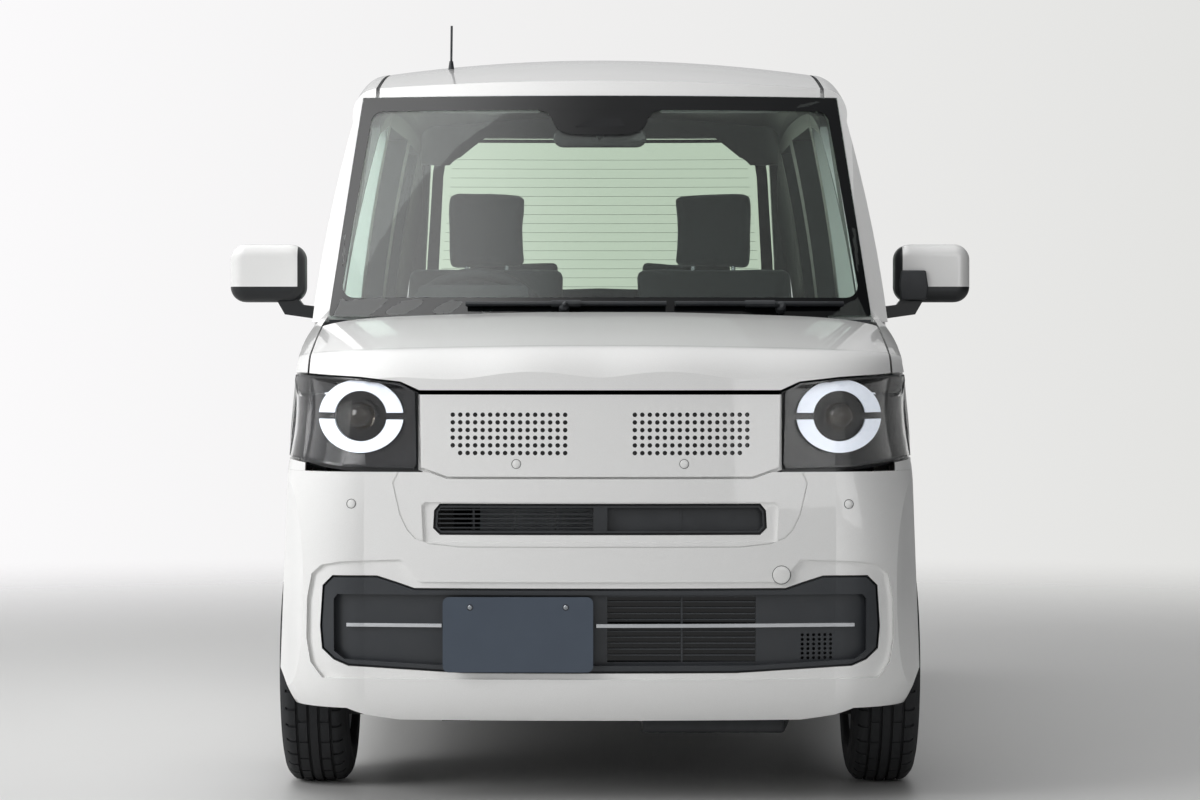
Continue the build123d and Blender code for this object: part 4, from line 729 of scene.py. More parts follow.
def tube(name: str, points: Sequence[Point], radius: float, sides: int = 3) -> Object:
    """Makes a round bar along a smooth line through points.

    Args:
        name: The piece's name.
        points: The line's points.
        radius: The bar's radius.
        sides: The bevel's resolution.

    Returns:
        The piece, as a mesh with closed ends.
    """
    curve = bpy.data.curves.new(name, "CURVE")
    curve.dimensions = "3D"
    curve.bevel_depth = radius
    curve.bevel_resolution = sides
    curve.use_fill_caps = True
    line = curve.splines.new("BEZIER")
    line.bezier_points.add(len(points) - 1)
    for knot, point in zip(line.bezier_points, points):
        knot.co = point
        knot.handle_left_type = knot.handle_right_type = "AUTO"
    piece = bpy.data.objects.new(name, curve)
    bpy.context.scene.collection.objects.link(piece)
    take(piece)
    bpy.ops.object.convert(target="MESH")
    return added(name)


def copy_piece(piece: Object, name: str, change: Matrix) -> Object:
    """Copies a piece with a mesh of its own, moved by change.

    Args:
        piece: The piece to copy.
        name: The copy's name.
        change: The move, which may mirror.

    Returns:
        The copy.
    """
    twin = piece.copy()
    twin.data = piece.data.copy()
    twin.name = twin.data.name = name
    bpy.context.scene.collection.objects.link(twin)
    twin.data.transform(change)
    if change.determinant() < 0:
        twin.data.flip_normals()
    return twin


def fit(
    piece: Object, finish: Finish, body: str, angle: float = 32.0, replaces: Sequence[str] = ()
) -> None:
    """Settles, smooths, finishes and mounts a piece.

    Args:
        piece: The piece.
        finish: Its surface.
        body: The CAD body that it moves with.
        angle: The most that a smoothed edge turns, in degrees.
        replaces: CAD nodes that it stands for.
    """
    take(piece)
    bpy.ops.object.transform_apply(location=True, rotation=True, scale=True)
    bpy.ops.object.shade_smooth_by_angle(angle=math.radians(angle))
    piece.data.materials.clear()
    piece.data.materials.append(finish.make())
    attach(piece, body)
    if replaces:
        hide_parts(*replaces)


def both(piece: Object, finish: Finish, left_body: str, right_body: str) -> None:
    """Fits a +X piece and its mirror image.

    Args:
        piece: The piece on the +X side.
        finish: Their surface.
        left_body: The +X piece's body.
        right_body: The -X piece's body.
    """
    name = piece.name
    twin = copy_piece(piece, f"{name}_right", MIRROR_X)
    piece.name = piece.data.name = f"{name}_left"
    fit(piece, finish, left_body)
    fit(twin, finish, right_body)


def join(pieces: Sequence[Object], name: str) -> Object:
    """Joins pieces of one finish and body into one object."""
    take(pieces[0])
    for piece in pieces[1:]:
        piece.select_set(True)
    bpy.ops.object.join()
    return added(name)


def rectangle(left: float, right: float, low: float, high: float) -> list[Flat]:
    """Returns a rectangle's corners."""
    return [(left, low), (right, low), (right, high), (left, high)]


def arc(centre: Flat, radius: Flat, start: float, end: float, steps: int) -> list[Flat]:
    """Returns points on an ellipse's arc.

    Args:
        centre: The ellipse's centre.
        radius: Its two half sizes.
        start: The first point's angle, in degrees.
        end: The last point's angle.
        steps: How many steps lie between them.
    """
    angles = [math.radians(start + (end - start) * i / steps) for i in range(steps + 1)]
    return [
        (centre[0] + radius[0] * math.cos(a), centre[1] + radius[1] * math.sin(a)) for a in angles
    ]


def capsule(half: float, middle: float, radius: Flat) -> list[Flat]:
    """Returns a lying outline with round ends.

    Args:
        half: How far its ends' centres lie from X = 0.
        middle: Its height.
        radius: The ends' two half sizes.
    """
    return arc((half, middle), radius, -90, 90, 8) + arc((-half, middle), radius, 90, 270, 8)


def rounded_loop(
    half_low: float, half_high: float, low: float, high: float, turn: float, parts: int = 12
) -> list[Flat]:
    """Returns points round an upright four-sided outline with rounded corners, back to the first.

    Args:
        half_low: Half its width at its foot.
        half_high: Half its width at its top.
        low: Its foot's height.
        high: Its top's height.
        turn: The corners' radius.
        parts: How many parts a side is cut into.
    """
    steps = 5
    corners = (
        (half_low - turn, low + turn, -90.0),
        (half_high - turn, high - turn, 0.0),
        (turn - half_high, high - turn, 90.0),
        (turn - half_low, low + turn, 180.0),
    )
    bent: list[Flat] = []
    for x, z, start in corners:
        bent += arc((x, z), (turn, turn), start, start + 90.0, steps)
    loop: list[Flat] = []
    for number, ((x0, z0), (x1, z1)) in enumerate(zip(bent, bent[1:] + bent[:1])):
        cuts = parts if number % (steps + 1) == steps else 1
        loop += [(x0 + (x1 - x0) * i / cuts, z0 + (z1 - z0) * i / cuts) for i in range(cuts)]
    return loop + loop[:1]


def on_face(node: str, x: float, z: float, lift: float = 0.0, way: float = 1.0) -> Vector:
    """Finds the point of a CAD node's surface straight behind or ahead of a place.

    Args:
        node: The CAD node.
        x: The place across the car.
        z: Its height.
        lift: How far the point stands off the surface.
        way: 1 to look rearwards from the nose, -1 to look forwards from the tail.

    Returns:
        The point.
    """
    start = Vector((x, -3.0 * way, z))
    found, point, _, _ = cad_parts[node].ray_cast(start, Vector((0.0, way, 0.0)))
    if not found:
        raise ValueError(f"{node} has no face at {x:.3f}, {z:.3f}")
    return point - Vector((0.0, way * lift, 0.0))


def skin(name: str, rows: Sequence[Sequence[Vector]], thickness: float) -> Object:
    """Makes a thin shell through rows of points.

    Args:
        name: The piece's name.
        rows: Rows of as many points each.
        thickness: The shell's thickness.

    Returns:
        The piece.
    """
    bpy.ops.object.select_all(action="DESELECT")
    bpy.ops.mesh.primitive_grid_add(x_subdivisions=len(rows[0]) - 1, y_subdivisions=len(rows) - 1)
    piece = added(name)
    for vertex, point in zip(piece.data.vertices, [point for row in rows for point in row]):
        vertex.co = point
    with editing():
        bpy.ops.mesh.remove_doubles(threshold=MERGE)
    modify(piece, "SOLIDIFY", thickness=thickness, offset=0.0)
    return piece


def lay(
    name: str,
    node: str,
    lines: Sequence[Sequence[Flat]],
    body: str,
    finish: Finish = FRIT_BLACK,
    lift: float = PRINT_LIFT,
    thickness: float = PRINT_THICKNESS,
) -> None:
    """Lays a print or a thin pane on the front face of a pane.

    Args:
        name: The piece's name.
        node: The pane's CAD node.
        lines: Lines of as many points each, as X and Z, that it spans.
        body: The body that it moves with.
        finish: Its surface.
        lift: How far it stands off the pane.
        thickness: Its thickness.
    """
    rows = [[on_face(node, x, z, lift) for x, z in line] for line in lines]
    fit(skin(name, rows, thickness), finish, body, angle=60.0)


# ------------------------------------------------------------------ the CAD pieces' finishes
@dataclass
class FrameFinishes:
    """The finish of each CAD node that stays in view.

    Attributes:
        table: The starts of the names of the nodes that get each finish.
    """

    table: dict[Finish, tuple[str, ...]] = field(
        default_factory=lambda: {
            BODY_ENAMEL: ("bonnet", "front_bumper", "front_wings", "grille_panel", "rear_bumper"),
            LINED_ENAMEL: ("front_door", "roof_panel", "side_frames", "sliding_doors", "tailgate"),
            MIRROR_SHELL: ("door_mirror",),
            BLACK_GRAIN: ("antenna", "cowl_panel", "upper_intake", "wheel_liners"),
            CABIN_GREY: ("dashboard", "floor_pan", "steering_column", "steering_wheel"),
            CHARCOAL_SATIN: ("lower_grille",),
            GLOSS_BLACK: ("grille_backing",),
            LAMP_BLACK: ("headlamp_housings",),
            PLATE_SLATE: ("front_plate", "rear_plate"),
            SEAT_CLOTH: ("front_seats", "rear_seat"),
            SCREEN_GLASS: ("windscreen",),
            SIDE_GLASS: ("front_door_glass",),
            PRIVACY_GLASS: ("rear_side_glass",),
            GREEN_GLASS: ("tailgate_glass",),
            LAMP_ACRYLIC: ("headlamp_lenses",),
            PROJECTOR_SHADED_ACRYLIC: ("lamp_projectors",),
            RED_ACRYLIC: ("tail_lamps",),
            LED_WHITE: ("lamp_rings",),
            BRIGHT_CHROME: ("grille_trim",),
            EXHAUST_STEEL: ("exhaust",),
            PAINTED_STEEL: ("door_hinges", "front_frame", "front_subframe", "rear_axle"),
            CAST_IRON: ("knuckle",),
            TANK_STEEL: ("fuel_tank",),
            CAST_ALLOY: ("engine_block",),
            SILVER_COVER: ("rim",),
            TYRE_RUBBER: ("tyre",),
        }
    )

    def finish_of(self, node: str) -> Finish:
        """Returns the finish of the longest key that the node's name starts with."""
        keys = {key: finish for finish, names in self.table.items() for key in names}
        return keys[max(filter(node.startswith, keys), key=len)]

    def build(self) -> None:
        """Gives every CAD node its finish."""
        for name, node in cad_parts.items():
            finish = self.finish_of(name)
            node.data.materials.clear()
            node.data.materials.append(finish.make())


# ------------------------------------------------------------------ wheels
AXLES = (("front", -1.1375), ("rear", 1.3825))
AXLE_Z = 0.2785


@dataclass
class Tyres:
    """Four radial tyres with ribs, main grooves, shoulder slots and moulded sidewalls.

    Attributes:
        radius: The tread's radius at its middle.
        bead_radius: The radius at the rim.
        track_x: The tyre's middle plane.
        groove_depth: The depth of the main grooves.
        slot_depth: The depth of the shoulder slots.
        crown: How far below the tread's middle a face may lie and still get slots.
        steps: How many faces go round.
    """

    radius: float = 0.2785
    bead_radius: float = 0.1893
    track_x: float = 0.6525
    groove_depth: float = 0.007
    slot_depth: float = 0.0045
    crown: float = 0.014
    steps: int = 240

    def profile(self) -> list[Flat]:
        """Returns the section, as distance from the middle plane and radius."""
        deep, deeper = self.groove_depth, self.groove_depth + 0.001
        # The tread goes by its drop below the middle, and the wall by its radius.
        tread = [(0.0, 0.0), (0.0085, 0.0), (0.0098, deep), (0.0142, deep), (0.0155, 0.0003)]
        tread += [(0.0250, 0.0006), (0.0345, 0.0010), (0.0358, deeper), (0.0402, deeper)]
        tread += [(0.0415, 0.0016), (0.0480, 0.0022), (0.0545, 0.0032), (0.0600, 0.0068)]
        tread += [(0.0645, 0.0120), (0.0690, 0.0170), (0.0722, 0.0220)]
        wall = [(0.0732, 0.2520), (0.0746, 0.2510), (0.0752, 0.2470), (0.0752, 0.2440)]
        wall += [(0.0763, 0.2425), (0.0777, 0.2370), (0.0785, 0.2310), (0.0778, 0.2240)]
        wall += [(0.0765, 0.2170), (0.0768, 0.2120), (0.0758, 0.2085), (0.0745, 0.2030)]
        wall += [(0.0718, 0.1995), (0.0655, 0.1955), (0.0565, self.bead_radius)]
        half = [(across, self.radius - drop) for across, drop in tread] + wall
        return half[::-1] + [(-across, radius) for across, radius in half[1:]]

    def cut_slots(self, tyre: Object) -> None:
        """Sinks the slots that cross both shoulders, and shallow ones in the middle ribs."""
        bands = ((0.0415, 0.0650, 6, self.slot_depth), (0.0150, 0.0350, 8, 0.6 * self.slot_depth))
        for low, high, spacing, depth in bands:
            take(tyre)
            bpy.ops.object.mode_set(mode="EDIT")
            bpy.ops.mesh.select_all(action="DESELECT")
            bpy.ops.mesh.select_mode(type="FACE")
            bpy.ops.object.mode_set(mode="OBJECT")
            for face in tyre.data.polygons:
                x, y, z = face.center
                number = int(math.atan2(z, y) % math.tau / math.tau * self.steps)
                on_tread = math.hypot(y, z) > self.radius - self.crown and abs(face.normal.x) < 0.9
                face.select = on_tread and low < abs(x) < high and number % spacing == 0
            bpy.ops.object.mode_set(mode="EDIT")
            bpy.ops.mesh.extrude_region_shrink_fatten(TRANSFORM_OT_shrink_fatten={"value": -depth})
            bpy.ops.object.mode_set(mode="OBJECT")

    def build(self) -> None:
        """Builds one tyre and sets four copies on the wheels."""
        model = turned("tyre_model", self.profile(), (0, 0, 0), (1, 0, 0), self.steps, closed=True)
        self.cut_slots(model)
        for axle, y in AXLES:
            for side, x in (("left", self.track_x), ("right", -self.track_x)):
                place = Matrix.Translation((x, y, AXLE_Z))
                tyre = copy_piece(model, f"radial_tyre_{axle}_{side}", place)
                stands_for = (f"tyre_{axle}_{side}",)
                fit(tyre, TYRE_RUBBER, f"wheel_{axle}_{side}", replaces=stands_for)
        bpy.data.objects.remove(model)


@dataclass
class WheelDetail:
    """A domed centre cap and a valve on each wheel's cover.

    Attributes:
        cap_radius: The cap's radius.
        cap_x: Where the left caps' rim lies.
        valve_radius: How far the valve lies from the axle.
        valve_x: Where the valve starts.
    """

    cap_radius: float = 0.027
    cap_x: float = 0.700
    valve_radius: float = 0.132
    valve_x: float = 0.668

    def build(self) -> None:
        """Builds the four caps and valves."""
        wide = self.cap_radius
        dome = [(0.0035, 0.0), (0.003, 0.5 * wide), (0.0015, 0.9 * wide)]
        dome += [(-0.001, wide), (-0.004, wide), (-0.004, 0.0)]
        stem = [(0.0, 0.0), (0.0, 0.0055), (0.012, 0.004), (0.026, 0.004), (0.026, 0.0)]
        for axle, y in AXLES:
            bodies = (f"wheel_{axle}_left", f"wheel_{axle}_right")
            cap = turned(f"centre_cap_{axle}", dome, (self.cap_x, y, AXLE_Z), (1, 0, 0))
            both(cap, SILVER_COVER, *bodies)
            place = (self.valve_x, y, AXLE_Z - self.valve_radius)
            both(turned(f"valve_{axle}", stem, place, (1, 0, 0), 20), SEAL_RUBBER, *bodies)


# ------------------------------------------------------------------ seats
@dataclass(frozen=True)
class Pad:
    """One stuffed part of a seat.

    Attributes:
        name: Its name.
        node: The CAD node that it stands for.
        profile: Its side view, as Y and Z.
        middle: The X of its middle.
        half: Half its width.
        rounding: The rounding of its foam's edges.
        facing: The direction that its sewn face looks in.
        lengthwise: The offsets from its middle of the seams that run along it.
        crosswise: Where seams cross it, as Z on a back or Y on a cushion.
        swell: The furthest that its cover may move as cloth.
    """

    name: str
    node: str
    profile: tuple[Flat, ...]
    middle: float
    half: float
    rounding: float
    facing: Point
    lengthwise: tuple[float, ...] = ()
    crosswise: tuple[float, ...] = ()
    swell: float = 0.024

    @property
    def crossing_axis(self) -> int:
        """The axis that the crosswise seams are placed along."""
        return 1 if abs(self.facing[2]) > 0.5 else 2


@dataclass
class Seats:
    """Foam seats with sewn covers that are blown up as cloth from a slightly smaller shape.

    Attributes:
        grid: The cloth's mesh size.
        tuck: How far the foam starts inside its final shape.
        seam_width: Half the width of a sewn channel.
        pressure: The pressure inside the cover.
        frames: How many steps the cloth runs for.
        fill: How much of a pad's box its foam fills; not used.
        front_x: How far the front seats' middles lie from the car's.
        rear_x: The same for the rear headrests.
        post_x: How far a headrest's posts lie from its middle.
        cushion: A front cushion's side view, as Y and Z.
        back: A front back's.
        head: A front headrest's.
        base: A front base's.
        rear_cushion: The rear cushion's.
        rear_back: The rear back's.
        rear_head: A rear headrest's.
    """

    grid: float = 0.0095
    tuck: float = 0.010
    seam_width: float = 0.0055
    pressure: float = 4.0
    frames: int = 20
    fill: float = 0.8
    front_x: float = 0.310
    rear_x: float = 0.255
    post_x: float = 0.055
    cushion: tuple[Flat, ...] = ((-0.230, 0.470), (0.240, 0.470), (0.240, 0.610), (-0.230, 0.640))
    back: tuple[Flat, ...] = ((0.150, 0.560), (0.250, 0.560), (0.370, 1.235), (0.270, 1.235))
    head: tuple[Flat, ...] = ((0.292, 1.212), (0.352, 1.212), (0.368, 1.435), (0.282, 1.435))
    base: tuple[Flat, ...] = ((-0.180, 0.3203), (0.200, 0.3203), (0.215, 0.478), (-0.195, 0.478))
    rear_cushion: tuple[Flat, ...] = ((0.56, 0.6), (1.0, 0.6), (1.0, 0.69), (0.56, 0.705))
    rear_back: tuple[Flat, ...] = ((0.96, 0.64), (1.06, 0.64), (1.16, 1.19), (1.08, 1.19))
    rear_head: tuple[Flat, ...] = ((1.082, 1.150), (1.142, 1.150), (1.154, 1.262), (1.094, 1.262))

    def pads(self) -> Iterator[Pad]:
        """Yields each pad."""
        up, ahead = (0.0, 0.0, 1.0), (0.0, -1.0, 0.0)
        for side, x in (("left", self.front_x), ("right", -self.front_x)):
            seat = ("front_seats", self.cushion, x, 0.235, 0.03, up, (-0.13, 0.13), (0.08,))
            yield Pad(f"seat_cushion_{side}", *seat)
            seat = ("front_seats", self.back, x, 0.225, 0.028, ahead, (-0.125, 0.125), (0.98,))
            yield Pad(f"seat_back_{side}", *seat)
            head = ("front_seats", self.head, x, 0.113, 0.026, ahead)
            yield Pad(f"headrest_{side}", *head, swell=0.006)
        splits = (-0.30, 0.0, 0.30)
        seat = ("rear_seat", self.rear_cushion, 0.0, 0.560, 0.026, up, splits, (0.84,))
        yield Pad("rear_seat_cushion", *seat)
        seat = ("rear_seat", self.rear_back, 0.0, 0.545, 0.026, ahead, splits, (0.96,))
        yield Pad("rear_seat_back", *seat)
        for side, x in (("left", self.rear_x), ("right", -self.rear_x)):
            head = ("rear_seat", self.rear_head, x, 0.140, 0.018, ahead)
            yield Pad(f"rear_headrest_{side}", *head, swell=0.006)

    def seams(self, pad: Pad, piece: Object) -> bpy.types.VertexGroup:
        """Marks the points of a pad's sewn face that its seams hold down."""
        group = piece.vertex_groups.new(name="seam")
        facing = Vector(pad.facing)
        for vertex in piece.data.vertices:
            if vertex.normal.dot(facing) < 0.4:
                continue
            place, level = vertex.co.x - pad.middle, vertex.co[pad.crossing_axis]
            along = min((abs(place - x) for x in pad.lengthwise), default=1.0)
            across = min((abs(level - v) for v in pad.crosswise), default=1.0)
            if min(along, across) < self.seam_width:
                group.add([vertex.index], 1.0, "REPLACE")
        return group

    def blow_up(self, pad: Pad, piece: Object) -> None:
        """Runs the cloth under pressure between its seams, and caps how far it moves."""
        take(piece)
        rest = [vertex.co.copy() for vertex in piece.data.vertices]
        group = self.seams(pad, piece)
        cloth = piece.modifiers.new("cover", "CLOTH")
        cloth.settings.use_pressure = True
        cloth.settings.uniform_pressure_force = self.pressure
        cloth.settings.effector_weights.gravity = 0.0
        cloth.settings.vertex_group_mass = group.name
        cloth.point_cache.frame_end = self.frames
        for number in range(1, self.frames + 1):
            bpy.context.scene.frame_set(number)
        bpy.ops.object.modifier_apply(modifier=cloth.name)
        bpy.context.scene.frame_set(1)
        for vertex, start in zip(piece.data.vertices, rest):
            move = vertex.co - start
            if move.length > pad.swell:
                vertex.co = start + move * (pad.swell / move.length)

    def stuff(self, pad: Pad) -> None:
        """Builds one pad."""
        low, high = pad.middle - pad.half, pad.middle + pad.half
        piece = slab(pad.name, pad.profile, Plane3.SIDE, low, high, pad.rounding, 4)
        modify(piece, "DISPLACE", strength=-self.tuck, mid_level=0.0)
        modify(piece, "REMESH", mode="VOXEL", voxel_size=self.grid)
        self.blow_up(pad, piece)
        fit(piece, SEAT_CLOTH, "root", angle=80.0, replaces=(pad.node,))

    def hard_parts(self) -> None:
        """Builds the seats' plastic bases and the headrests' steel posts."""
        for side, x in (("left", self.front_x), ("right", -self.front_x)):
            piece = slab(f"seat_base_{side}", self.base, Plane3.SIDE, x - 0.19, x + 0.19, 0.012)
            fit(piece, CABIN_GREY, "root", replaces=("front_seats",))
            for number, offset in enumerate((-self.post_x, self.post_x)):
                points = [(x + offset, 0.318, 1.19), (x + offset, 0.322, 1.25)]
                fit(tube(f"headrest_post_{side}_{number}", points, 0.006), BRIGHT_STEEL, "root")
        base = rectangle(0.590, 0.990, 0.5603, 0.612)
        piece = slab("rear_seat_base", base, Plane3.SIDE, -0.54, 0.54, 0.012)
        fit(piece, CABIN_GREY, "root", replaces=("rear_seat",))

    def build(self) -> None:
        """Builds every pad and hard part."""
        for pad in self.pads():
            self.stuff(pad)
        self.hard_parts()


# ------------------------------------------------------------------ windscreen and what lies on it
@dataclass
class Screen:
    """The windscreen's printed border, its camera pod, mirror and wipers.

    Attributes:
        half_low: Half the glass's width at its foot.
        taper: How much narrower it gets per metre of height.
        foot_z: The height of its foot.
        top_z: The height of its top.
        border: The printed border's width at the sides.
        clear_low: The lowest height of clear glass.
        clear_high: The highest.
        pod_half: Half the camera pod's width.
        pod_low: The height of the pod's foot.
        pod_high: The height of its top.
        pod_print: The left half of the print's foot in front of the pod, as X and Z.
        mirror_z: The height of the mirror's middle.
        blade_z: The height that the wiper blades rest at.
        hub_z: The height of the wipers' hubs.
        wiper_axis: The way that a hub points into the glass.
    """

    half_low: float = 0.652
    taper: float = 0.1216
    foot_z: float = 1.085
    top_z: float = 1.627
    border: float = 0.026
    clear_low: float = 1.131
    clear_high: float = 1.592
    pod_half: float = 0.100
    pod_low: float = 1.540
    pod_high: float = 1.605
    pod_print: tuple[Flat, ...] = (
        (-0.150, 1.5905),
        (-0.130, 1.586),
        (-0.118, 1.572),
        (-0.110, 1.552),
        (-0.096, 1.538),
        (-0.076, 1.531),
        (-0.045, 1.529),
    )
    mirror_z: float = 1.5255
    blade_z: float = 1.116
    hub_z: float = 1.108
    wiper_axis: Point = (0.0, 0.86, -0.51)

    def half_at(self, z: float) -> float:
        """Returns half the glass's width at height z."""
        return self.half_low - self.taper * (z - self.foot_z)

    def frit(self) -> None:
        """Lays the black border that the print and the edge seal make together."""
        low, high, inset = self.foot_z + 0.002, self.top_z, 0.001
        halves = (self.half_at(low) - inset, self.half_at(high) - inset)
        outside = rounded_loop(*halves, low, high, 0.004)
        low, high = self.clear_low, self.clear_high
        halves = (self.half_at(low) - self.border, self.half_at(high) - self.border)
        inside = rounded_loop(*halves, low, high, 0.03)
        lay("windscreen_border", "windscreen", (outside, inside), "root")

    def pod(self) -> None:
        """Hangs the camera pod and the mirror behind the glass, and prints what hides them."""
        high = on_face("windscreen", 0.0, self.pod_high, 0.004, -1.0)
        low = on_face("windscreen", 0.0, self.pod_low, 0.004, -1.0)
        profile = [(low.y, low.z), (low.y + 0.045, low.z - 0.004)]
        profile += [(high.y + 0.055, high.z + 0.012), (high.y, high.z)]
        half = self.pod_half
        pod = slab("camera_pod", profile, Plane3.SIDE, -half, half, 0.006, 3)
        fit(pod, GLOSS_BLACK, "root")
        bends = ((0.030, 1.541), (0.050, 1.532), (0.062, 1.526))
        stalk = [(0.0, low.y + behind, z) for behind, z in bends]
        fit(tube("mirror_stalk", stalk, 0.008), BLACK_GRAIN, "root")
        back = low.y + 0.058
        face = back + 0.026
        outline = capsule(0.090, self.mirror_z, (0.025, 0.0245))
        mirror = slab("rear_view_mirror", outline, Plane3.FRONT, back, face, 0.006, 3)
        fit(mirror, GLOSS_BLACK, "root")
        outline = capsule(0.088, self.mirror_z, (0.022, 0.0215))
        glass = slab("mirror_glass", outline, Plane3.FRONT, face - 0.0005, face + 0.0015)
        fit(glass, MIRROR_SILVER, "root")
        mirrored = [(-x, z) for x, z in reversed(self.pod_print)]
        foot = [*self.pod_print, (0.0, 1.5285), *mirrored]
        top = [(x, self.clear_high - 0.0002) for x, _ in foot]
        lay("pod_border", "windscreen", (top, foot), "root")
        pane = ([(-0.022, 1.571), (0.048, 1.571)], [(-0.060, 1.549), (0.062, 1.549)])
        lay("camera_window", "windscreen", pane, "root", GLOSS_BLACK, 0.0016, 0.0006)

    def wiper(self, name: str, low_x: float, high_x: float, pivot_x: float) -> None:
        """Lays one wiper along the foot of the glass.

        Args:
            name: The wiper's name.
            low_x: The blade's end towards -X.
            high_x: Its end towards +X.
            pivot_x: Where its arm is pivoted.
        """
        steps = 14
        xs = [low_x + (high_x - low_x) * number / steps for number in range(steps + 1)]
        spine = [on_face("windscreen", x, self.blade_z, 0.015) for x in xs]
        edge = [on_face("windscreen", x, self.blade_z + 0.001, 0.0055) for x in xs]
        fit(tube(f"{name}_rubber", edge, 0.0045, 2), SEAL_RUBBER, "root")
        middle = 0.5 * (low_x + high_x)
        hub = on_face("windscreen", pivot_x, self.hub_z, 0.016)
        knee = on_face("windscreen", 0.65 * pivot_x + 0.35 * middle, self.hub_z + 0.006, 0.027)
        tip = on_face("windscreen", middle, self.blade_z, 0.021)
        arm = tube(f"{name}_arm", [hub, knee, tip], 0.0065)
        dome = [(-0.010, 0.0), (-0.010, 0.007), (-0.006, 0.012), (0.010, 0.013), (0.010, 0.0)]
        cap = turned(f"{name}_cap", dome, hub, self.wiper_axis, 28)
        reach = Vector((0.035, 0.0, 0.0))
        clip = tube(f"{name}_clip", [tip - reach, tip + reach], 0.009)
        blade = tube(f"{name}_spine", spine, 0.0065)
        fit(join([blade, arm, cap, clip], name), BLACK_GRAIN, "root")

    def build(self) -> None:
        """Builds the border, the pod and both wipers."""
        self.frit()
        self.pod()
        self.wiper("wiper_long", -0.318, 0.157, -0.085)
        self.wiper("wiper_short", 0.178, 0.582, 0.430)


# ------------------------------------------------------------------ door mirrors and sensors
@dataclass
class DoorMirrors:
    """The mirrors' glass, and the small auxiliary mirror on the left one.

    Attributes:
        middle: The X and Z of the mirror glass's middle.
        half: Half its width and height.
        corner: The rounding of its corners.
        small: The auxiliary mirror's outline, as X and Z.
    """

    middle: Flat = (0.815, 1.198)
    half: Flat = (0.066, 0.048)
    corner: float = 0.02
    small: tuple[Flat, ...] = (
        (0.738, 1.128),
        (0.800, 1.128),
        (0.804, 1.160),
        (0.798, 1.200),
        (0.738, 1.200),
        (0.733, 1.165),
    )

    def build(self) -> None:
        """Builds the glasses and the auxiliary mirror."""
        rear = on_face("door_mirror_left", *self.middle, 0.0, -1.0).y
        outline: list[Flat] = []
        for dx, dz, start in ((1, -1, -90), (1, 1, 0), (-1, 1, 90), (-1, -1, 180)):
            x = self.middle[0] + dx * (self.half[0] - self.corner)
            z = self.middle[1] + dz * (self.half[1] - self.corner)
            outline += arc((x, z), (self.corner, self.corner), start, start + 90, 5)
        levels = (rear - 0.002, rear + 0.0015)
        glass = slab("door_mirror_glass", outline, Plane3.FRONT, *levels, 0.0008)
        both(glass, MIRROR_SILVER, "front_door_left", "front_door_right")
        ahead = on_face("door_mirror_left", 0.770, 1.170).y
        levels = (ahead - 0.010, ahead + 0.004)
        shell = slab("auxiliary_mirror", self.small, Plane3.FRONT, *levels, 0.004, 3)
        fit(shell, BLACK_GRAIN, "front_door_left")


@dataclass
class NoseDetail:
    """The parking sensors, the towing eye's cover, the plate's screws and the grille's insides.

    Attributes:
        sensors: The sensors' X and Z.
        sensor_radius: Their radius.
        tow: The tow cover's X and Z.
        tow_radius: Its radius.
        screws: The plate screws' X.
        screw_z: Their height.
        seam: The width of the shut line round a button.
        shade_screen_y: Where the screen behind the vent lies, front and back: a solid black sheet,
            partly real screen and partly painted shade.
        tray: The undertray's outline, as X and Y.
    """

    sensors: tuple[Flat, ...] = ((-0.184, 0.759), (0.185, 0.759), (-0.548, 0.671), (0.548, 0.670))
    sensor_radius: float = 0.0095
    tow: Flat = (0.399, 0.515)
    tow_radius: float = 0.0196
    screws: Flat = (-0.285, -0.075)
    screw_z: float = 0.445
    seam: float = 0.0011
    shade_screen_y: Flat = (-1.6355, -1.6340)
    tray: tuple[Flat, ...] = ((0.095, -1.50), (0.415, -1.50), (0.44, -1.25), (0.095, -1.25))

    def button(self, name: str, place: Flat, radius: float, finish: Finish, node: str) -> None:
        """Sets a round button with a shut line around it into a panel.

        Args:
            name: The button's name.
            place: Its X and Z.
            radius: Its radius.
            finish: Its surface.
            node: The panel's CAD node.
        """
        start = Vector((place[0], -3.0, place[1]))
        _, point, normal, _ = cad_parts[node].ray_cast(start, Vector((0, 1, 0)))
        dome = [(0.0016, 0.0), (0.0014, 0.6 * radius), (0.0006, radius - 0.0012)]
        dome += [(-0.0006, radius - 0.0002), (-0.006, radius), (-0.006, 0.0)]
        fit(turned(name, dome, point, normal, 32), finish, "root")
        outer = radius + self.seam
        ring = [(0.0003, radius), (0.0003, outer), (-0.003, outer), (-0.003, radius)]
        fit(turned(f"{name}_gap", ring, point, normal, 32, closed=True), SEAL_RUBBER, "root")

    def build(self) -> None:
        """Sets every button, and builds what lies behind and below the lower grille."""
        for number, place in enumerate(self.sensors):
            node = "grille_panel" if abs(place[0]) < 0.3 else "front_bumper"
            self.button(f"parking_sensor_{number}", place, self.sensor_radius, BODY_ENAMEL, node)
        self.button("tow_cover", self.tow, self.tow_radius, BODY_ENAMEL, "front_bumper")
        for number, x in enumerate(self.screws):
            place = (x, self.screw_z)
            self.button(f"plate_screw_{number}", place, 0.006, BRIGHT_STEEL, "front_plate")
        # Behind the vent lies a solid black sheet: partly the real insect screen, partly painted
        # shade that darkens the opening.
        mesh = rectangle(0.012, 0.346, 0.318, 0.470)
        fit(slab("insect_screen", mesh, Plane3.FRONT, *self.shade_screen_y), FRIT_BLACK, "root")
        behind = on_face("lower_grille", 0.478, 0.318, -0.0010, -1.0).y
        felt = rectangle(0.440, 0.516, 0.318, 0.392)
        fit(slab("duct_felt", felt, Plane3.FRONT, behind, behind + 0.003), SEAL_RUBBER, "root")
        tray = slab("front_undertray", self.tray, Plane3.TOP, 0.148, 0.186, 0.008, 3)
        fit(tray, BLACK_GRAIN, "root")


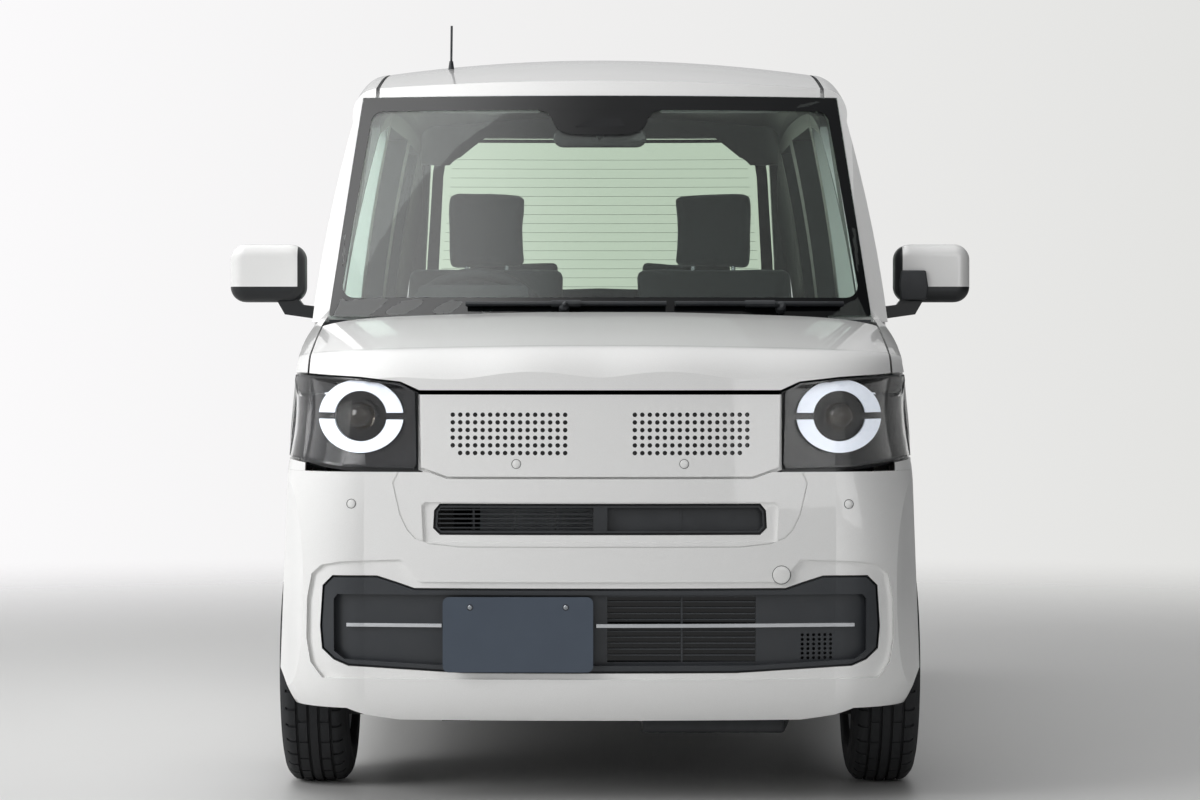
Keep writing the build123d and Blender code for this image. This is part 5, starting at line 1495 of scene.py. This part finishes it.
# ------------------------------------------------------------------ cabin and tail
@dataclass
class CabinDetail:
    """The dashboard's screen and vents, and the sun visors.

    Attributes:
        screen: The screen's outline, as X and Z.
        vents: Each vent's name and the X of its middle.
        vent_half: Half a vent's width.
        vent_z: A vent's foot and top.
        visor_x: How far a visor's middle lies from the car's.
        visor_y: The visors' front and back.
        visor_z: Their underside and top.
        edge: The rounding of all their edges.
    """

    screen: Sequence[Flat] = field(default_factory=lambda: rectangle(-0.115, 0.115, 0.940, 1.075))
    vents: tuple[tuple[str, float], ...] = (
        ("far_left", 0.520),
        ("left", 0.175),
        ("right", -0.165),
        ("far_right", -0.540),
    )
    vent_half: float = 0.042
    vent_z: Flat = (1.000, 1.060)
    visor_x: float = 0.30
    visor_y: Flat = (-0.600, -0.460)
    visor_z: Flat = (1.600, 1.616)
    edge: float = 0.006

    def build(self) -> None:
        """Builds the cabin's small pieces."""
        edge = (self.edge, 3)
        screen = slab("centre_screen", self.screen, Plane3.FRONT, -0.625, -0.606, *edge)
        fit(screen, GLOSS_BLACK, "root")
        for name, x in self.vents:
            body = rectangle(x - self.vent_half, x + self.vent_half, *self.vent_z)
            vent = slab(f"vent_{name}", body, Plane3.FRONT, -0.630, -0.604, *edge)
            fit(vent, BLACK_GRAIN, "root")
        front, back = self.visor_y
        for side, x in (("left", self.visor_x), ("right", -self.visor_x)):
            sheet = [(x - 0.155, front), (x + 0.155, front), (x + 0.150, back), (x - 0.150, back)]
            visor = slab(f"sun_visor_{side}", sheet, Plane3.TOP, *self.visor_z, 0.007, 3)
            fit(visor, HEADLINER, "root")


@dataclass
class TailDetail:
    """The rear window's heater, border and wiper, and the tail lamps' insides.

    Attributes:
        lines: How many heater lines cross the window.
        pitch: Their spacing.
        low_z: The lowest one's height.
        low_half: Half its length.
        taper: How much shorter the lines get per metre of height.
        hub_z: The height of the wiper's hub.
        blade_z: The height that its blade rests at.
        blade_xs: The places along the blade.
        lamp_x: The X of the lamps' bowls.
        lamp_zs: Their heights.
    """

    lines: int = 16
    pitch: float = 0.028
    low_z: float = 1.160
    low_half: float = 0.50
    taper: float = 0.11
    hub_z: float = 1.125
    blade_z: float = 1.150
    blade_xs: tuple[float, ...] = (-0.02, -0.12, -0.24, -0.33)
    lamp_x: float = 0.655
    lamp_zs: tuple[float, ...] = (0.845, 0.950, 1.060, 1.170)

    def heater(self) -> None:
        """Prints the heater's lines on the window's inner face."""
        wires = []
        for number in range(self.lines):
            z = self.low_z + number * self.pitch
            half = self.low_half - self.taper * (z - self.low_z)
            points = [on_face("tailgate_glass", x, z, 0.0008) for x in (-half, 0.0, half)]
            wires.append(tube(f"wire_{number}", points, 0.0006, 1))
        fit(join(wires, "window_heater"), HEATER_PRINT, "tailgate")

    def wiper(self) -> None:
        """Builds the rear wiper."""
        node, z, xs = "tailgate_glass", self.blade_z, self.blade_xs
        hub = on_face(node, 0.0, self.hub_z, 0.014, -1.0)
        blade = [on_face(node, x, z, 0.010, -1.0) for x in xs]
        rubber = [on_face(node, x, z + 0.001, 0.0045, -1.0) for x in xs]
        dome = [(0.016, 0.0), (0.014, 0.016), (0.0, 0.021), (-0.012, 0.021), (-0.012, 0.0)]
        cap = turned("cap", dome, hub, (0, 1, 0.1), 32)
        arm = tube("arm", [hub, blade[1], blade[2]], 0.008)
        wiper = join([cap, arm, tube("blade", blade, 0.006)], "rear_wiper")
        fit(wiper, BLACK_GRAIN, "tailgate")
        fit(tube("rear_wiper_rubber", rubber, 0.004, 2), SEAL_RUBBER, "tailgate")

    def bowls(self) -> None:
        """Builds the bright bowls inside both tail lamps."""
        profile = [(0.0, 0.024), (-0.010, 0.020), (-0.018, 0.008), (-0.018, 0.0)]
        profile += [(-0.021, 0.0), (-0.021, 0.026), (0.0, 0.026)]
        for number, z in enumerate(self.lamp_zs):
            deep = on_face("tail_lamps", self.lamp_x, z, 0.0, -1.0).y - 0.020
            bowl = turned(f"lamp_bowl_{number}", profile, (self.lamp_x, deep, z), (0, 1, 0), 28)
            both(bowl, BRIGHT_CHROME, "root", "root")

    def build(self) -> None:
        """Builds the pieces on the tailgate and in the lamps."""
        self.heater()
        outside = rounded_loop(0.538, 0.516, 1.110, 1.6425, 0.105)
        inside = rounded_loop(0.500, 0.484, 1.140, 1.632, 0.105)
        lay("tailgate_glass_border", "tailgate_glass", (outside, inside), "tailgate")
        self.wiper()
        self.bowls()


# ------------------------------------------------------------------ seals along the sides
@dataclass
class SideSeals:
    """Rubber strips along the feet of the side windows.

    Attributes:
        height: The strips' height.
        radius: Their radius.
        steps: How many parts a strip is laid in.
    """

    height: float = 1.0745
    radius: float = 0.0065
    steps: int = 8

    def strip(self, name: str, node: str, span: Flat, bodies: tuple[str, str]) -> None:
        """Lays a strip along a pane's foot on both sides.

        Args:
            name: The strip's name.
            node: The left pane's CAD node.
            span: The Y that it starts and ends at.
            bodies: The bodies of the left and the right one.
        """
        points = []
        for number in range(self.steps + 1):
            y = span[0] + (span[1] - span[0]) * number / self.steps
            start = Vector((2.0, y, self.height + 0.012))
            found, point, _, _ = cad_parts[node].ray_cast(start, Vector((-1, 0, 0)))
            if found:
                points.append((point.x + 0.0045, y, self.height + 0.002))
        both(tube(name, points, self.radius, 2), SEAL_RUBBER, *bodies)

    def build(self) -> None:
        """Lays the strips of the front and rear side windows."""
        doors = ("front_door_left", "front_door_right")
        self.strip("door_belt_seal", "front_door_glass_left", (-0.66, 0.005), doors)
        self.strip("rear_belt_seal", "rear_side_glass", (0.145, 0.960), ("root", "root"))


# ------------------------------------------------------------------ studio
@dataclass
class Studio:
    """The floor, the light and the camera.

    Attributes:
        camera_y: Where the camera stands, ahead of the nose.
        camera_z: Its height.
        pitch: How far it looks down, in degrees.
        lens_mm: Its lens, for a 36 mm wide picture.
        room_light: The strength of the light from all round.
        bank_light: How much brighter the bank of light overhead on the left is than the room.
        floor_fade: How far from the middle the floor starts and ends to fade.
    """

    camera_y: float = -9.6375
    camera_z: float = 1.050
    pitch: float = 1.081
    lens_mm: float = 108.87
    room_light: float = 0.34
    bank_light: float = 3.0
    floor_fade: Flat = (2.6, 7.5)

    def build(self) -> None:
        """Builds the floor, the world, the lamps and the camera."""
        self.floor()
        self.world()
        self.lamp("key", (-6.5, -5.0, 3.6), 4.0, 310.0, mirrored=False)
        self.lamp("top", (-1.0, 0.0, 6.5), 6.0, 205.0, mirrored=False)
        self.lamp("fill", (3.0, -8.0, 2.5), 3.0, 45.0)
        self.camera()

    def floor(self) -> None:
        """Makes a pale floor that fades into the background away from the car."""
        bpy.ops.object.select_all(action="DESELECT")
        bpy.ops.mesh.primitive_circle_add(vertices=96, radius=30.0, fill_type="NGON")
        plate = added("studio_floor")
        material, canvas = new_canvas("pale studio paint", "#d9d9d8", 0.45)
        far = add_node(canvas.tree, "VectorMath", operation="LENGTH", in_0=canvas.place)
        fade = ramp(canvas.tree, far.outputs["Value"], self.floor_fade, eased=True)
        clear = add_node(canvas.tree, "BsdfTransparent").outputs["BSDF"]
        canvas.show(mix_shaders(canvas.tree, fade, canvas.shader.outputs["BSDF"], clear))
        plate.data.materials.append(material)

    def world(self) -> None:
        """Makes a room that is bright on the left, darker on the right and white behind the car."""
        world = bpy.data.worlds.new("studio")
        world.use_nodes = True
        bpy.context.scene.world = world
        tree = world.node_tree
        towards = add_node(tree, "TexCoord").outputs["Generated"]
        axes = add_node(tree, "SeparateXYZ", in_Vector=towards).outputs
        ray = add_node(tree, "LightPath").outputs
        # The bank of light shows in the windscreen and the bonnet, and fades out to the right.
        left = ramp(tree, axes["X"], (-0.36, 0.04), (self.bank_light, 0.0), eased=True)
        over = ramp(tree, axes["Z"], (0.3, 0.8), eased=True)
        bank = maths(tree, "MULTIPLY_ADD", left, over, 1.0)
        light = self.side_lit(tree, axes["X"], 0.8, "#ffffff", "#8f9091", self.room_light)
        mirrored = self.side_lit(tree, axes["X"], 0.7, "#ffffff", "#4c4d4f", bank)
        seen = self.side_lit(tree, axes["X"], 0.165, "#fbfafb", "#e3e3e1", 1.0)
        direct = maths(tree, "MAXIMUM", ray["Is Camera Ray"], ray["Is Transmission Ray"])
        lighting = mix_shaders(tree, ray["Is Glossy Ray"], light, mirrored)
        shown = mix_shaders(tree, direct, lighting, seen)
        tree.links.new(shown, tree.nodes["World Output"].inputs["Surface"])

    def side_lit(
        self, tree: Tree, across: Socket, reach: float, left: str, right: str, strength: object
    ) -> Socket:
        """Adds a background that goes from one colour to another from left to right.

        Args:
            tree: The world's node tree.
            across: The X of the direction looked in.
            reach: The X, either way, at which the end colours are reached.
            left: The sRGB hex colour towards -X.
            right: The one towards +X.
            strength: The light's strength, as a number or an output.

        Returns:
            The background's output.
        """
        share = ramp(tree, across, (-reach, reach))
        tint = mixed(tree, share, linear(left), linear(right))
        return add_node(tree, "Background", in_Color=tint, in_Strength=strength).outputs[0]

    def lamp(
        self, name: str, place: Point, size: float, power: float, mirrored: bool = True
    ) -> None:
        """Hangs a soft square lamp that faces the car.

        Args:
            name: The lamp's name.
            place: Where it hangs.
            size: Its width and height.
            power: Its power in watts.
            mirrored: Whether it shows in what it lights.
        """
        light = bpy.data.lights.new(name, "AREA")
        light.size = size
        light.energy = power
        lamp = bpy.data.objects.new(name, light)
        lamp.location = place
        aim = Vector((0, 0, 0.8)) - Vector(place)
        lamp.rotation_euler = aim.to_track_quat("-Z", "Y").to_euler()
        lamp.visible_glossy = mirrored
        bpy.context.scene.collection.objects.link(lamp)

    def camera(self) -> None:
        """Stands the camera square in front of the car."""
        data = bpy.data.cameras.new("camera")
        data.lens = self.lens_mm
        data.sensor_width = 36.0
        camera = bpy.data.objects.new("camera", data)
        camera.location = (0.0, self.camera_y, self.camera_z)
        camera.rotation_euler = (math.radians(90 - self.pitch), 0.0, 0.0)
        bpy.context.scene.collection.objects.link(camera)
        bpy.context.scene.camera = camera


def main() -> None:
    """Builds the pieces in order."""
    logging.basicConfig(level=logging.INFO, format="%(name)s: %(message)s")
    bpy.context.scene.view_settings.view_transform = "Standard"
    parts = (
        FrameFinishes(),
        Tyres(),
        WheelDetail(),
        Seats(),
        Screen(),
        DoorMirrors(),
        NoseDetail(),
        CabinDetail(),
        TailDetail(),
        SideSeals(),
        Studio(),
    )
    for part in parts:
        part.build()
        log.info("built %s", type(part).__name__)


if __name__ == "__main__":
    main()
